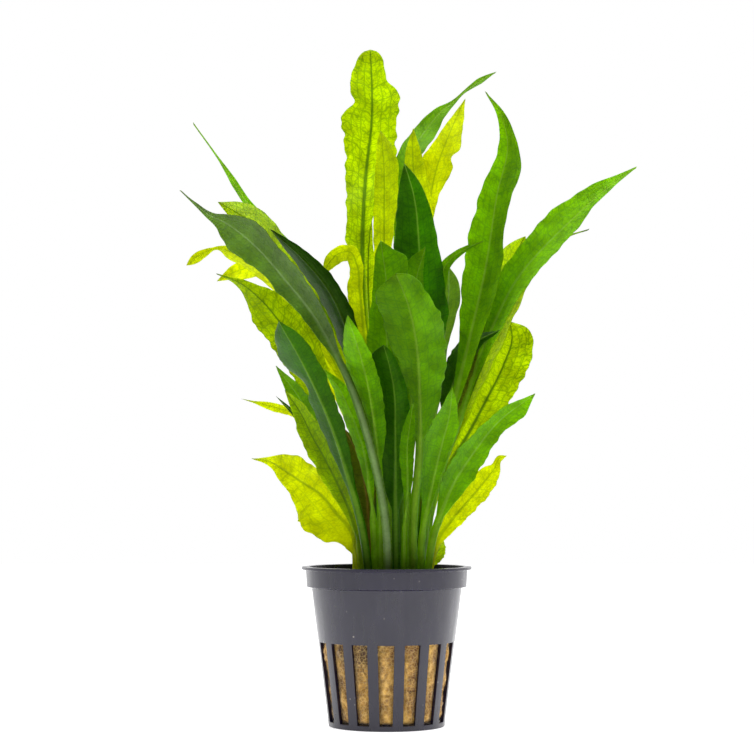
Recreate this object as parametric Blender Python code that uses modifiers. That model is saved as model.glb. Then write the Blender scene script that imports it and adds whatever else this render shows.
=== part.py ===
# A sword plant in a slotted net pot: the pot, the mineral wool in it, the crown and every leaf.
# Metres, +Z up. The origin is the centre of the pot's underside.
# Values in the tables are millimetres and degrees.

import bpy
import bmesh
import numpy as np
from math import cos, sin, pi, radians

MM = 0.001
OBJECT_NAME = "potted_sword_plant"

# The pot, a 50 mm net pot
POT_HEIGHT = 52.3
LIP_RADIUS = 28.2
LIP_THICK = 0.9
LIP_ROOT = 0.2
BAND_TOP_RADIUS = 26.8
BAND_BOTTOM_RADIUS = 26.5
BAND_HEIGHT = 6.6
STEP_SLOPE = 0.4
BODY_TOP_RADIUS = 24.9
BASE_RADIUS = 19.2
WALL = 1.2
FLOOR = 1.3
TURNED_STEPS = 48

SLOTS = 16
SLOT_TURN = -0.8
SLOT_TOP = 27.7
SLOT_BOTTOM = 1.7
RIB_WIDTH = 3.5
FLOOR_SLOTS = 8
FLOOR_SLOT_WIDTH = 2.6
FLOOR_SLOT_INNER = 8.0
FLOOR_SLOT_OUTER = 15.5
PAST = 3.0

# The mineral wool fills the pot up to below its band, and the crown sits on it
CLEAR = 0.3
WOOL_TOP = 42.0
WOOL_EDGE = 2.0
WOOL_SHOULDER = 1.0
CROWN_ACROSS = 2.1
CROWN_RADIUS = 15.6
CROWN_HEIGHT = 4.4
CROWN_SHOULDER = 1.2
CROWN_UNDERCUT = 1.5
STALK_FOOT = WOOL_TOP + CLEAR + CROWN_HEIGHT + CLEAR

# Each leaf is drawn on an upright sheet through the pot's axis, as an eye in front of the pot
# sees it. Its depth then moves it along the line of sight, so the drawing holds.
EYE_ACROSS = -3.2
EYE_UP = 77.0
EYE_DISTANCE = 684.0

# A stalk starts to flatten at this share of its length, and is a blade after this share of the blade
FLATTEN_FROM = 0.75
FLATTEN_OVER = 0.35

# The rings of a leaf's solid, as shares of the stalk and then of the blade
STALK_RINGS = (0.0, 0.4, 0.8)
BLADE_RINGS = (0.05, 0.15, 0.25, 0.35, 0.45, 0.55, 0.65, 0.745, 0.83, 0.91, 0.97)
NEAR = 0.004
LEAST_WIDTH = 0.01
BLADE_HALF = 0.24
RIB_HEIGHT = 0.9
TIP_THIN = 0.5
LEAST_TURNED = 0.45
OUTWARD = (2, 0, 2, 1, 0, 1)

# Half the width along a blade, as a share of its widest, from its foot to its tip
LANCE = ((0, 0.14), (0.12, 0.42), (0.3, 0.8), (0.5, 1.0), (0.68, 0.94), (0.84, 0.62), (0.94, 0.26),
     (1, 0))

# Leaves that would share a place are moved apart in depth until this much is left between them
LEAF_GAP = 0.45
CELL = 1.4
SWEEPS = 260

leaves = []


def leaf(name, root, path, depth, blade, foot, stalk=1.25, roll=(0, 0), fold=16, wave=0.0, waves=3.0):
    # root: across and depth where the stalk leaves the crown. path: across and up, to the tip.
    # depth: at the middle and at the tip. blade: widest left and right half, or rows of share,
    # left, right, as the eye sees them. foot: share of the length where the blade begins.
    # stalk: half its thickness. roll: turn about its own length, at the blade's foot and at its
    # tip, with the right edge going back. A turned blade is really wider than it looks.
    # fold: how far the two halves bend back from the eye, or towards it if less than 0.
    # wave: height of the edge's ripple.
    leaves.append(dict(name=name, root=root, path=path, depth=depth, blade=blade, foot=foot,
                       stalk=stalk, roll=roll, fold=fold, wave=wave, waves=waves))


# The leaves stand in this list from the one nearest the eye to the one farthest behind. Their
# places and widths were read from the plant by eye, one leaf at a time.
leaf("leaf_front_big", (8.8, -10), [(9, 68), (11, 91), (11, 111), (10, 126), (7, 140), (3, 150)],
     (-24, -54),
     [(0, 1.4, 1.4), (0.24, 2.7, 7), (0.41, 6.3, 9), (0.59, 9, 10), (0.7, 9.8, 9.2), (0.76, 9.8, 8.5),
      (0.81, 9.6, 7.4), (0.87, 9.6, 6.4), (0.93, 8, 4.8), (0.96, 4.6, 3.4), (1, 0, 0)], 0.455,
     stalk=1.4, fold=18, wave=0.5)
leaf("leaf_right_short", (11.4, -7), [(12, 64), (15, 78), (18, 91), (21, 103), (22, 112)], (-18, -28),
     [(0, 1, 1), (0.15, 2, 1.2), (0.35, 5, 2), (0.55, 6.5, 3), (0.72, 5.4, 3.8), (0.85, 3.4, 2.4),
      (0.93, 1.8, 1.2), (1, 0, 0)], 0.28, roll=(20, 25), fold=-14)
leaf("leaf_left_long", (0.5, -11), [(0, 64), (-5, 91), (-11, 110), (-16, 121), (-19.3, 127), (-26, 138),
     (-32.5, 146), (-46, 161), (-54, 167), (-60, 170), (-64.2, 173.4), (-69.5, 178)], (-20, -16),
     [(0, 1.2, 1.2), (0.04, 1.5, 1.6), (0.088, 2.2, 2.4), (0.25, 3.5, 4.3), (0.38, 4.4, 5.6),
      (0.5, 4.9, 5.7), (0.56, 5.6, 5.4), (0.63, 6.6, 6.3), (0.7, 6.2, 5.2), (0.76, 4.2, 2.9),
      (0.8, 2.4, 1.7), (0.845, 1.2, 1), (0.91, 0.5, 0.5), (1, 0, 0)], 0.49,
     stalk=1.5, roll=(-30, -42), fold=-22)
leaf("leaf_front_left", (-2, -8), [(-2, 68), (-3, 91), (-4, 100), (-6, 112), (-9, 124), (-13, 136)],
     (-22, -38),
     [(0, 1.2, 1.2), (0.15, 3.5, 3), (0.35, 5.5, 4), (0.55, 5.8, 4), (0.75, 5, 3), (0.88, 3, 1.8),
      (0.95, 1.4, 0.8), (1, 0, 0)], 0.45, roll=(-30, -34), fold=14)
leaf("leaf_left_dark", (-5.5, -6.5), [(-8, 64), (-14, 86), (-20, 103), (-28, 120), (-36, 134)],
     (-20, -42),
     [(0, 1.4, 1.4), (0.15, 2.4, 2.6), (0.35, 3.6, 4), (0.43, 3.6, 4.3), (0.515, 3.4, 4.6),
      (0.575, 2.5, 4.8), (0.63, 3.2, 4.9), (0.7, 5.4, 5), (0.75, 6, 5), (0.82, 5.4, 4.6),
      (0.9, 3.8, 3.6), (1, 0, 0)], 0.34, stalk=1.4, roll=(-30, -36), fold=16)
leaf("leaf_front_small", (5.8, -7.5), [(6, 64), (7, 79), (7, 93), (9, 107)], (-16, -24), (2.6, 2.2),
     0.4, stalk=1.0, fold=10)
leaf("leaf_front_dark", (3.2, -6), [(3, 74), (3, 98), (2.5, 111), (1, 119), (-1, 126)], (-14, -26),
     [(0, 1.2, 1.2), (0.2, 5, 3.5), (0.5, 7.4, 5), (0.75, 7.6, 4), (0.9, 6, 2.5), (0.97, 3.4, 1.2),
      (1, 0, 0)], 0.3, roll=(-14, -14), fold=12)
leaf("leaf_right_low", (13, -3), [(16, 64), (22, 79), (29, 90), (37, 100), (49.6, 109.7)], (-10, -18),
     [(0, 1.2, 1.5), (0.1, 2.5, 3), (0.19, 3.8, 4.2), (0.46, 4.6, 4.6), (0.58, 3.8, 3.8),
      (0.69, 3, 3.7), (0.77, 2.8, 3.9), (0.85, 2.2, 4.2), (0.92, 1.2, 2.3), (0.97, 0.5, 0.8),
      (1, 0, 0)], 0.3, roll=(30, 34), fold=-14)
leaf("leaf_left_inner", (-3.5, -5), [(-5, 74), (-8, 93), (-12, 104), (-16, 112), (-21, 118)], (-12, -18),
     (3.2, 3.4), 0.35, roll=(-36, -40), fold=12)
leaf("leaf_left_grey", (-7.8, -3), [(-9, 59), (-12, 70), (-16, 79), (-20, 87), (-25, 96), (-29, 104),
     (-34, 111)], (-8, -10), (4.2, 4.2), 0.22, roll=(-30, -38), fold=-12)
leaf("leaf_left_spike", (-6.8, 0), [(-12, 71), (-22, 89), (-29, 101), (-37, 109)], (-3, -6), (1.3, 1.3),
     0.3, stalk=0.9, fold=20)
leaf("leaf_left_short", (-6.5, 3), [(-12, 74), (-21, 94), (-29, 108), (-37, 119)], (0, -4), (3.4, 3.6),
     0.35, roll=(-30, -30), fold=-10)
leaf("leaf_centre_green", (1.5, -3), [(1, 81), (1, 108), (0, 131), (0, 146), (-2, 161)], (-6, -14),
     [(0, 1.2, 1.2), (0.2, 4, 4), (0.45, 7, 7.5), (0.7, 5.5, 7.6), (0.85, 4, 7.6), (0.92, 3, 7.2),
      (0.945, 2.4, 4.6), (0.975, 1.3, 2.2), (1, 0, 0)], 0.32, fold=12)
leaf("leaf_centre_round", (6.8, -2), [(7, 81), (8, 108), (9, 138), (10, 149), (13, 159)], (-3, -8),
     [(0, 1, 1), (0.3, 4, 4), (0.6, 6, 5), (0.8, 5.5, 3), (0.93, 3.5, 1.2), (1, 0, 0)], 0.36,
     roll=(16, 20), fold=10)
leaf("leaf_centre_dark", (4.5, 0), [(6, 81), (11, 108), (12, 134), (11, 158), (9, 177), (6, 187)], (2, 0),
     [(0, 1.2, 1.2), (0.15, 3, 3), (0.26, 5, 5), (0.41, 7.3, 8.3), (0.56, 8.3, 7.7), (0.685, 8.3, 6.3),
      (0.8, 7, 5.3), (0.89, 5, 3.4), (0.95, 2.7, 2), (1, 0, 0)], 0.36, stalk=1.4,
     roll=(-8, -12), fold=12, wave=0.4)
leaf("leaf_right_hook", (8, 2), [(11, 81), (14, 108), (17, 141), (20, 153), (26, 158), (33, 161)], (5, 2),
     [(0, 1, 1), (0.4, 2, 2), (0.7, 2.2, 2.2), (0.85, 1.3, 1.3), (0.93, 0.7, 0.7), (1, 0, 0)], 0.4,
     stalk=1.0, fold=-20)
leaf("leaf_right_tall", (10.4, -1.5), [(14, 74), (22, 104), (28, 129), (33, 151), (37, 176),
     (40.6, 195), (38.4, 203.5), (33, 211.5)], (3, 2),
     [(0, 1.2, 1.2), (0.16, 3, 3), (0.29, 5.4, 4.4), (0.385, 7, 5.4), (0.48, 7.3, 5), (0.58, 7, 4),
      (0.64, 5.7, 4.7), (0.715, 4.6, 5.8), (0.78, 3.6, 4.6), (0.833, 2.6, 2.9), (0.89, 1.7, 1.7),
      (0.94, 0.9, 0.9), (1, 0, 0)], 0.36, stalk=1.5, roll=(-34, -42), fold=-14)
leaf("leaf_right_dark", (9.8, 1), [(13, 74), (20, 104), (24, 117), (29, 126), (38, 131)], (5, 5),
     [(0, 1.2, 1.2), (0.25, 4, 2), (0.5, 5, 2.2), (0.7, 4, 2.5), (0.82, 2, 1.5), (0.92, 0.8, 0.8),
      (1, 0, 0)], 0.6, roll=(-30, -30), fold=12)
leaf("leaf_left_brown", (-4.8, -1), [(-6, 66), (-7, 78), (-10, 90), (-14, 98)], (-3, -5), (3.3, 3.3),
     0.25, fold=10)
leaf("leaf_left_arch", (-2.5, 3), [(-3, 81), (-6, 108), (-12, 128), (-19, 144), (-29, 156), (-39, 165)],
     (-1, -6), (4.2, 3.8), 0.38, stalk=1.4, roll=(-42, -45), fold=14)
leaf("leaf_left_broad", (-5.8, 6), [(-9, 74), (-19, 98), (-28, 122), (-36, 134), (-42, 141), (-48, 146),
     (-57, 150)], (4, -2),
     [(0, 1.2, 1.2), (0.2, 4.5, 4), (0.39, 6.6, 7.4), (0.59, 7, 7.2), (0.73, 6, 4.8), (0.84, 2.2, 2.2),
      (0.92, 0.7, 0.7), (1, 0, 0)], 0.44, roll=(26, 34), fold=-12)
leaf("leaf_right_red", (9.1, 4), [(12, 74), (21, 104), (28, 124), (34, 140)], (8, 8), (3.2, 3.2), 0.4,
     roll=(-38, -40), fold=10)
leaf("leaf_right_long", (12, 3), [(15, 74), (25, 104), (35, 131), (45, 150), (51, 157), (60, 166),
     (72, 177), (84, 186)], (9, 12),
     [(0, 1, 1), (0.2, 4, 3), (0.43, 6, 4), (0.53, 6.2, 4.3), (0.62, 7, 3.8), (0.7, 6.6, 3.2),
      (0.79, 5, 1.8), (0.89, 2.6, 0.9), (0.96, 0.9, 0.4), (1, 0, 0)], 0.43, stalk=1.5,
     roll=(-38, -48), fold=-16)
leaf("leaf_right_thin", (11.4, 5.5), [(15, 74), (26, 104), (36, 128), (44, 144), (53, 155), (60, 162),
     (68, 165)], (13, 18),
     [(0, 1, 1), (0.3, 2.5, 2.6), (0.5, 2.5, 3.2), (0.6, 2.3, 2.7), (0.66, 2.1, 2.1), (0.72, 1.8, 1.2),
      (0.78, 1.5, 0.9), (0.86, 0.5, 0.6), (0.93, 0.2, 0.2), (1, 0, 0)], 0.34,
     roll=(-45, -50), fold=-16)
leaf("leaf_right_round", (10, 8), [(14, 74), (23, 104), (32, 129), (38, 146), (42.5, 155), (46.5, 162.5)],
     (17, 24),
     [(0, 1.2, 1.2), (0.3, 3.4, 3), (0.6, 4.6, 4), (0.85, 4.6, 4), (0.95, 3.4, 3), (1, 0, 0)], 0.34,
     roll=(-30, -36), fold=10)
leaf("leaf_right_broad", (12.4, 7), [(14, 68), (19, 83), (26, 94), (33, 107), (39, 119), (42, 129),
     (41, 134)], (18, 30),
     [(0, 1.5, 1.5), (0.12, 3, 3), (0.26, 5.5, 4.5), (0.48, 8, 6.6), (0.66, 9, 7.4), (0.8, 8, 7.9),
      (0.88, 6, 7.2), (0.94, 4, 5.4), (1, 0, 0)], 0.37, stalk=1.4, roll=(-14, -16), fold=14, wave=0.4)
leaf("leaf_right_behind", (7.5, 5), [(10, 81), (18, 114), (20, 134), (21, 144), (21, 152)], (10, 13),
     [(0, 1, 1), (0.3, 2, 1.2), (0.5, 2.6, 1), (0.6, 3, 1.1), (0.68, 3.3, 2), (0.74, 3.5, 2.7),
      (0.79, 3.5, 3.3), (0.87, 3.5, 3.7), (0.95, 2.2, 2.6), (1, 0, 0)], 0.34, roll=(-36, -40), fold=10)
leaf("leaf_top_narrow", (2.5, 5), [(2, 81), (0, 114), (-1, 144), (-1, 168), (-1, 185), (-2, 198)],
     (10, 14),
     [(0, 1, 1), (0.32, 3, 2.5), (0.54, 3.3, 2.7), (0.66, 3.4, 4), (0.8, 3, 5), (0.9, 2.4, 4.4),
      (0.95, 1.6, 3), (1, 0, 0)], 0.446, roll=(34, 38), fold=12)
leaf("leaf_top_yellow", (5.1, 7.5), [(6, 81), (9, 114), (11, 144), (11, 171), (9, 188), (9, 199)],
     (15, 20),
     [(0, 1, 1), (0.3, 2.6, 2.6), (0.6, 4, 4.4), (0.8, 3.4, 3.9), (0.9, 2.7, 2.7), (0.96, 1.2, 1.2),
      (1, 0, 0)], 0.45, roll=(-30, -36), fold=12)
leaf("leaf_top_pale", (6.1, 10), [(7, 81), (11, 114), (13, 144), (14, 171), (17, 186), (22, 199),
     (26.5, 209)], (20, 34),
     [(0, 1, 1), (0.3, 2.6, 2.2), (0.45, 3, 2.2), (0.55, 3.4, 3.1), (0.62, 4.4, 4.7), (0.66, 5, 5.3),
      (0.7, 5.5, 4.2), (0.725, 4.9, 3.9), (0.755, 4, 5.2), (0.795, 3.6, 4.6), (0.83, 3, 4),
      (0.89, 1.8, 2.8), (0.95, 0.8, 1.2), (1, 0, 0)], 0.55, roll=(-30, -38), fold=-12)
leaf("leaf_top_twisted", (3.8, 12.6), [(4, 81), (4, 114), (4.5, 144), (5, 171), (7.2, 189.2),
     (12.8, 197.7), (18.3, 204.6), (22.8, 208.1), (25.7, 210.9), (31, 214.7), (37, 218.1)], (24, 44),
     [(0, 1, 1), (0.25, 2.4, 2.4), (0.4, 3.3, 3), (0.525, 3.5, 3.6), (0.642, 3.4, 3.6), (0.695, 2.8, 3.1),
      (0.74, 2, 2.3), (0.775, 1.2, 1.5), (0.805, 0.7, 0.8), (0.85, 0.4, 0.45), (0.89, 0.7, 0.8),
      (0.93, 1, 1), (0.96, 0.7, 0.6), (1, 0, 0)], 0.51, roll=(-28, -32), fold=-10)
leaf("leaf_drooping", (-0.2, 6.5), [(-3, 91), (-7, 124), (-9, 144), (-10, 153), (-12, 157), (-15, 157),
     (-18, 155), (-20, 152), (-21, 149)], (9, 6),
     [(0, 1, 1), (0.2, 3, 1), (0.42, 4.3, 1), (0.62, 2.6, 2), (0.72, 2.9, 2.4), (0.82, 3, 2.4),
      (0.92, 2, 1.6), (1, 0, 0)], 0.62, stalk=1.1, fold=-12)
leaf("leaf_tallest", (0.5, 9.5), [(-1, 81), (-5, 114), (-8, 144), (-8, 165), (-7, 183), (-5, 202),
     (-5, 215), (-5.5, 225.6)], (18, 26),
     [(0, 2.5, 1.2), (0.06, 5.2, 1.7), (0.15, 5.5, 2.7), (0.27, 6, 5.4), (0.35, 6.3, 7.5),
      (0.43, 7.2, 9), (0.53, 8.4, 9.2), (0.6, 9.4, 8.6), (0.66, 10, 8.6), (0.7, 9, 8.8),
      (0.735, 6.6, 9), (0.77, 6.6, 9.1), (0.81, 7.2, 8.4), (0.845, 7.2, 5.6), (0.88, 6.8, 4.7),
      (0.92, 5.6, 4.4), (0.955, 4.4, 3.9), (0.98, 3.2, 2.9), (0.993, 2, 1.8), (1, 0, 0)], 0.61,
     stalk=1.5, roll=(6, 10), fold=12, wave=0.8, waves=3.5)
leaf("leaf_behind_tallest", (1.2, 12), [(0, 81), (-3, 114), (-6, 141), (-6, 158), (-5, 170)], (22, 28),
     (2.4, 2.4), 0.45, stalk=1.0, fold=10)
leaf("leaf_left_top", (-3.2, 7), [(-4, 81), (-9, 108), (-19, 134), (-32, 153), (-44, 166),
     (-56.6, 174)], (12, 14),
     [(0, 1.2, 1.2), (0.2, 3, 3), (0.45, 5, 4.2), (0.7, 5.2, 4.2), (0.76, 4.9, 4.6), (0.83, 4.4, 5.5),
      (0.92, 2.6, 4.2), (0.96, 1.3, 2.3), (1, 0, 0)], 0.4, roll=(36, 45), fold=12)
leaf("leaf_left_needle", (-2.2, 10), [(-3, 81), (-7, 108), (-16, 136), (-28, 154), (-38, 164.5),
     (-46.8, 174), (-52.3, 182.5), (-58.3, 191.5), (-65, 201)], (20, 34),
     [(0, 1, 1), (0.3, 1.5, 1.5), (0.55, 1.4, 1.4), (0.7, 1.2, 1.2), (0.76, 1, 1), (0.8, 0.7, 0.7),
      (0.85, 0.35, 0.35), (1, 0, 0)], 0.42, roll=(10, 50), fold=-14)
leaf("leaf_left_curled", (-4.8, 9), [(-6, 81), (-12, 108), (-26, 134), (-39, 149), (-51, 156.5),
     (-57, 158.3), (-61.5, 156.6), (-67, 152.6)], (20, 38),
     [(0, 1, 1), (0.3, 2.5, 2.5), (0.55, 2.8, 2.6), (0.74, 2.6, 2.7), (0.8, 2.2, 2.4), (0.845, 0.6, 1),
      (0.87, 0.5, 0.6), (0.9, 1.4, 1.1), (0.94, 1.8, 1.6), (0.975, 1.1, 1.1), (1, 0, 0)], 0.42,
     stalk=1.1, roll=(20, 25), fold=-16)
leaf("leaf_left_pale", (-5.8, 8.5), [(-7, 81), (-14, 104), (-25, 129.5), (-34, 145.5), (-40, 150.8),
     (-45.5, 151.8), (-50.5, 150.5), (-56.8, 147.3)], (22, 42),
     [(0, 1, 1), (0.3, 2.6, 2.8), (0.6, 1.6, 3), (0.7, 1.5, 3), (0.76, 2, 3.2), (0.8, 2.9, 3.2),
      (0.84, 3.6, 3.1), (0.91, 2.3, 2.5), (0.96, 1.1, 1.2), (1, 0, 0)], 0.42,
     stalk=1.1, roll=(24, 30), fold=-14)
leaf("leaf_left_yellow_tip", (-8.4, 4), [(-12, 68), (-19, 86), (-25, 98), (-31.2, 103.2), (-37, 105),
     (-48.5, 108)], (12, 22),
     [(0, 1, 1), (0.3, 1.6, 1.6), (0.55, 1.4, 1.4), (0.65, 1.2, 1.2), (0.75, 1.5, 1.5),
      (0.84, 1.1, 1.1), (0.91, 0.45, 0.4), (1, 0, 0)], 0.35, stalk=1.0, fold=-14)
leaf("leaf_low_left", (-9.8, 2), [(-12, 64), (-17, 70), (-22, 76), (-28, 80), (-34, 84), (-39, 87),
     (-45, 88)], (12, 22),
     [(0, 3.4, 1.2), (0.06, 5.5, 1.6), (0.112, 7.8, 2), (0.2, 9.8, 2.4), (0.278, 10.9, 2.9),
      (0.443, 11.1, 4.6), (0.52, 9.2, 5.8), (0.6, 5.9, 6.8), (0.66, 4.9, 6.9), (0.74, 3.6, 6.4),
      (0.82, 1.9, 4.7), (0.88, 1.3, 2), (0.94, 0.7, 0.8), (1, 0, 0)], 0.2, stalk=1.3,
     roll=(14, 18), fold=12, wave=0.4)
leaf("leaf_low_right", (13.4, 4), [(17, 61), (22, 68), (28, 75), (33, 81), (36, 85), (37.5, 88),
     (40, 89)], (14, 22),
     [(0, 1.5, 1.5), (0.2, 3, 3), (0.45, 4.5, 3.8), (0.65, 4.4, 3.9), (0.8, 3, 2.6), (0.88, 1.2, 1.2),
      (0.94, 1, 1), (1, 0, 0)], 0.26, roll=(-22, -26), fold=-12)
leaf("leaf_low_lobe", (12.8, 8.4), [(14.6, 53), (16.6, 57), (18.4, 62)], (13, 20), (2.4, 2.8), 0.3,
     stalk=0.9, fold=10)


def smooth_line(points, shares):
    # A smooth curve through the points, read at shares of its length.
    points = np.array(points, dtype=float)
    steps = np.linalg.norm(np.diff(points, axis=0), axis=1)
    at = np.concatenate(([0.0], np.cumsum(steps)))
    slope = np.gradient(points, at, axis=0)
    want = np.asarray(shares) * at[-1]
    left = np.clip(np.searchsorted(at, want, side="right") - 1, 0, len(at) - 2)
    span = (at[left + 1] - at[left])[:, None]
    t = (want[:, None] - at[left][:, None]) / span
    return ((2 * t**3 - 3 * t**2 + 1) * points[left] + (t**3 - 2 * t**2 + t) * span * slope[left]
            + (3 * t**2 - 2 * t**3) * points[left + 1] + (t**3 - t**2) * span * slope[left + 1])


def spine(item, shares):
    # Across, up and depth of the midrib at shares of the drawn length.
    foot = (item["root"][0], STALK_FOOT)
    drawn = smooth_line([foot] + item["path"], shares)
    s = np.asarray(shares)
    start, middle, tip = item["root"][1], item["depth"][0], item["depth"][1]
    depth = start * (1 - s) * (1 - 2 * s) + middle * 4 * s * (1 - s) + tip * s * (2 * s - 1)
    return np.column_stack((drawn, depth))


def half_widths(item, along):
    # Left and right half width of the blade at shares of its own length.
    blade = item["blade"]
    if len(blade) == 2:
        blade = [(s, w * blade[0], w * blade[1]) for s, w in LANCE]
    rows = np.array(blade, dtype=float)
    return np.interp(along, rows[:, 0], rows[:, 1]), np.interp(along, rows[:, 0], rows[:, 2])


def ring_shares(item):
    foot = item["foot"]
    stalk = [foot * s for s in STALK_RINGS]
    blade = [foot + (1 - foot) * s for s in BLADE_RINGS]
    return np.array(stalk + blade + [1.0])


def rings(item):
    # The leaf's cross-sections, six points each, in across, up and depth. The last is the tip.
    shares = ring_shares(item)
    centre = spine(item, shares)
    ahead = spine(item, np.clip(shares + NEAR, 0, 1))
    behind = spine(item, np.clip(shares - NEAR, 0, 1))
    tangent = ahead - behind
    tangent /= np.linalg.norm(tangent, axis=1)[:, None]
    blade_share = np.clip((shares - item["foot"]) / (1 - item["foot"]), 0, 1)
    flatten_from = FLATTEN_FROM * item["foot"]
    spread = np.clip((shares - flatten_from) / (FLATTEN_OVER * (1 - item["foot"])), 0, 1)
    spread = spread * spread * (3 - 2 * spread)
    left, right = half_widths(item, blade_share)
    left = np.where(blade_share > 0, left, item["stalk"])
    right = np.where(blade_share > 0, right, item["stalk"])
    rib_side = 1 if item["fold"] > 0 else -1
    out = []
    for k in range(len(shares)):
        t = tangent[k]
        flat = np.array((t[1], -t[0], 0.0))
        flat /= np.linalg.norm(flat)
        toward = np.cross(t, flat)
        roll = radians(item["roll"][0] + (item["roll"][1] - item["roll"][0]) * blade_share[k]) * spread[k]
        side = cos(roll) * flat - sin(roll) * toward
        face = cos(roll) * toward + sin(roll) * flat
        fold = radians(item["fold"]) * spread[k]
        ripple = item["wave"] * spread[k] * sin(2 * pi * item["waves"] * blade_share[k])
        to_right = (cos(fold) * side - sin(fold) * face) / max(cos(roll + fold), LEAST_TURNED)
        to_left = (-cos(fold) * side - sin(fold) * face) / max(cos(roll - fold), LEAST_TURNED)
        slim = 1 - (1 - TIP_THIN) * blade_share[k]
        plain = item["stalk"] * 0.6 * (1 - spread[k]) + BLADE_HALF * spread[k] * slim
        flank = item["stalk"] * 0.75 * (1 - spread[k]) + BLADE_HALF * 1.1 * spread[k] * slim
        rib = item["stalk"] * (1 - spread[k]) + RIB_HEIGHT * spread[k] * slim
        reach = min(item["stalk"] * 0.7, 0.55 * left[k], 0.55 * right[k])
        right_edge = to_right * right[k] + face * ripple
        left_edge = to_left * left[k] - face * ripple
        near_left = left_edge * reach / max(left[k], LEAST_WIDTH)
        near_right = right_edge * reach / max(right[k], LEAST_WIDTH)
        out.append([
            centre[k] + right_edge,
            centre[k] - face * plain * rib_side,
            centre[k] + left_edge,
            centre[k] + near_left + face * flank * rib_side,
            centre[k] + face * rib * rib_side,
            centre[k] + near_right + face * flank * rib_side,
        ])
    tip = centre[-1]
    out[-1] = [tip] * 6
    return np.array(out)


def make_room(sections):
    # Where two leaves share a place in the drawing, the one nearer the eye comes forward and the
    # one behind goes back, ring by ring, until they are just clear of each other.
    rows = []
    for number, section in enumerate(sections):
        for k in range(len(section) - 1):
            low, high = section[k], section[k + 1]
            length = np.linalg.norm(high[1] - low[1])
            for f in np.linspace(0, 1, max(3, int(length / CELL * 1.7)), endpoint=False):
                ring = low * (1 - f) + high * f
                wide = np.linalg.norm(ring[0] - ring[2])
                across = np.linspace(0, 1, max(3, int(wide / CELL * 1.7)))
                front_line = ring[[2, 3, 4, 5, 0]]
                back_line = ring[[2, 1, 0]]
                first = np.column_stack([np.interp(across, (0, 0.4, 0.5, 0.6, 1), front_line[:, a])
                                         for a in range(3)])
                second = np.column_stack([np.interp(across, (0, 0.5, 1), back_line[:, a])
                                          for a in range(3)])
                for line in (first, second):
                    for p in line:
                        rows.append((number, k, f, int(p[0] // CELL), int(p[1] // CELL), p[2]))
    rows = np.array(rows)
    cell = rows[:, 3].astype(int) * 1000 + rows[:, 4].astype(int)
    key = cell * 64 + rows[:, 0].astype(int)
    order = np.lexsort((rows[:, 5], key))
    rows, key, cell = rows[order], key[order], cell[order]
    first = np.flatnonzero(np.concatenate(([True], np.diff(key) != 0)))
    last = np.concatenate((first[1:], [len(key)])) - 1
    owner = rows[first, 0].astype(int)
    middle = (first + last) // 2
    ring_low = rows[middle, 1].astype(int)
    part = rows[middle, 2]
    front, back, place = rows[first, 5], rows[last, 5], cell[first]
    pairs = []
    start = 0
    for stop in list(np.flatnonzero(np.diff(place)) + 1) + [len(place)]:
        members = range(start, stop)
        pairs += [(i, j) for i in members for j in members if owner[i] < owner[j]]
        start = stop
    ahead, behind = np.array(pairs).T
    move = np.zeros((len(sections), len(sections[0])))
    for sweep in range(SWEEPS):
        shift = move[owner, ring_low] * (1 - part) + move[owner, ring_low + 1] * part
        short = back[ahead] + shift[ahead] + LEAF_GAP - front[behind] - shift[behind]
        short = np.clip(short, 0, None) * 0.5
        push = np.zeros_like(move)
        pull = np.zeros_like(move)
        for nearer in (0, 1):
            np.maximum.at(push, (owner[behind], ring_low[behind] + nearer), short)
            np.maximum.at(pull, (owner[ahead], ring_low[ahead] + nearer), short)
        change = 0.5 * (push - pull)
        padded = np.pad(change, ((0, 0), (1, 1)), mode="edge")
        move += 0.25 * padded[:, :-2] + 0.5 * change + 0.25 * padded[:, 2:]
    return move


def stand_level(ring):
    # Cuts the foot of a stalk off level, just above the crown.
    ring[:, 1] = EYE_UP + (STALK_FOOT - EYE_UP) / (1 + ring[:, 2] / EYE_DISTANCE)


def to_real(points):
    # From the drawing and the depth to metres, along the line of sight.
    points = np.asarray(points, dtype=float)
    reach = 1 + points[..., 2] / EYE_DISTANCE
    real = np.empty_like(points)
    real[..., 0] = EYE_ACROSS + (points[..., 0] - EYE_ACROSS) * reach
    real[..., 1] = points[..., 2]
    real[..., 2] = EYE_UP + (points[..., 1] - EYE_UP) * reach
    return real * MM


def material(name, colour, roughness):
    made = bpy.data.materials.new(name)
    made.use_nodes = True
    shader = made.node_tree.nodes["Principled BSDF"]
    shader.inputs["Base Color"].default_value = (*colour, 1.0)
    shader.inputs["Roughness"].default_value = roughness
    shader.inputs["Metallic"].default_value = 0.0
    return made


def add_object(name, mesh, collection, colour=None, roughness=0.5):
    item = bpy.data.objects.new(name, mesh)
    collection.objects.link(item)
    if colour:
        mesh.materials.append(material(name, colour, roughness))
    return item


def turned(name, profile, collection, colour, roughness):
    # A solid of revolution: the profile is a chain of radius and height, ending on the axis.
    mesh = bpy.data.meshes.new(name)
    points = [(r * MM, 0.0, z * MM) for r, z in profile]
    mesh.from_pydata(points, [(i, i + 1) for i in range(len(points) - 1)], [])
    item = add_object(name, mesh, collection, colour, roughness)
    screw = item.modifiers.new("Turn", "SCREW")
    screw.steps = TURNED_STEPS
    screw.render_steps = TURNED_STEPS
    screw.use_merge_vertices = True
    screw.merge_threshold = 0.00001
    screw.use_normal_calculate = True
    screw.use_smooth_shade = True
    return item


def body_radius(height):
    # The outside of the pot's wall below its band.
    share = height / (POT_HEIGHT - BAND_HEIGHT)
    return BASE_RADIUS + (BODY_TOP_RADIUS - BASE_RADIUS) * share


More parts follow.
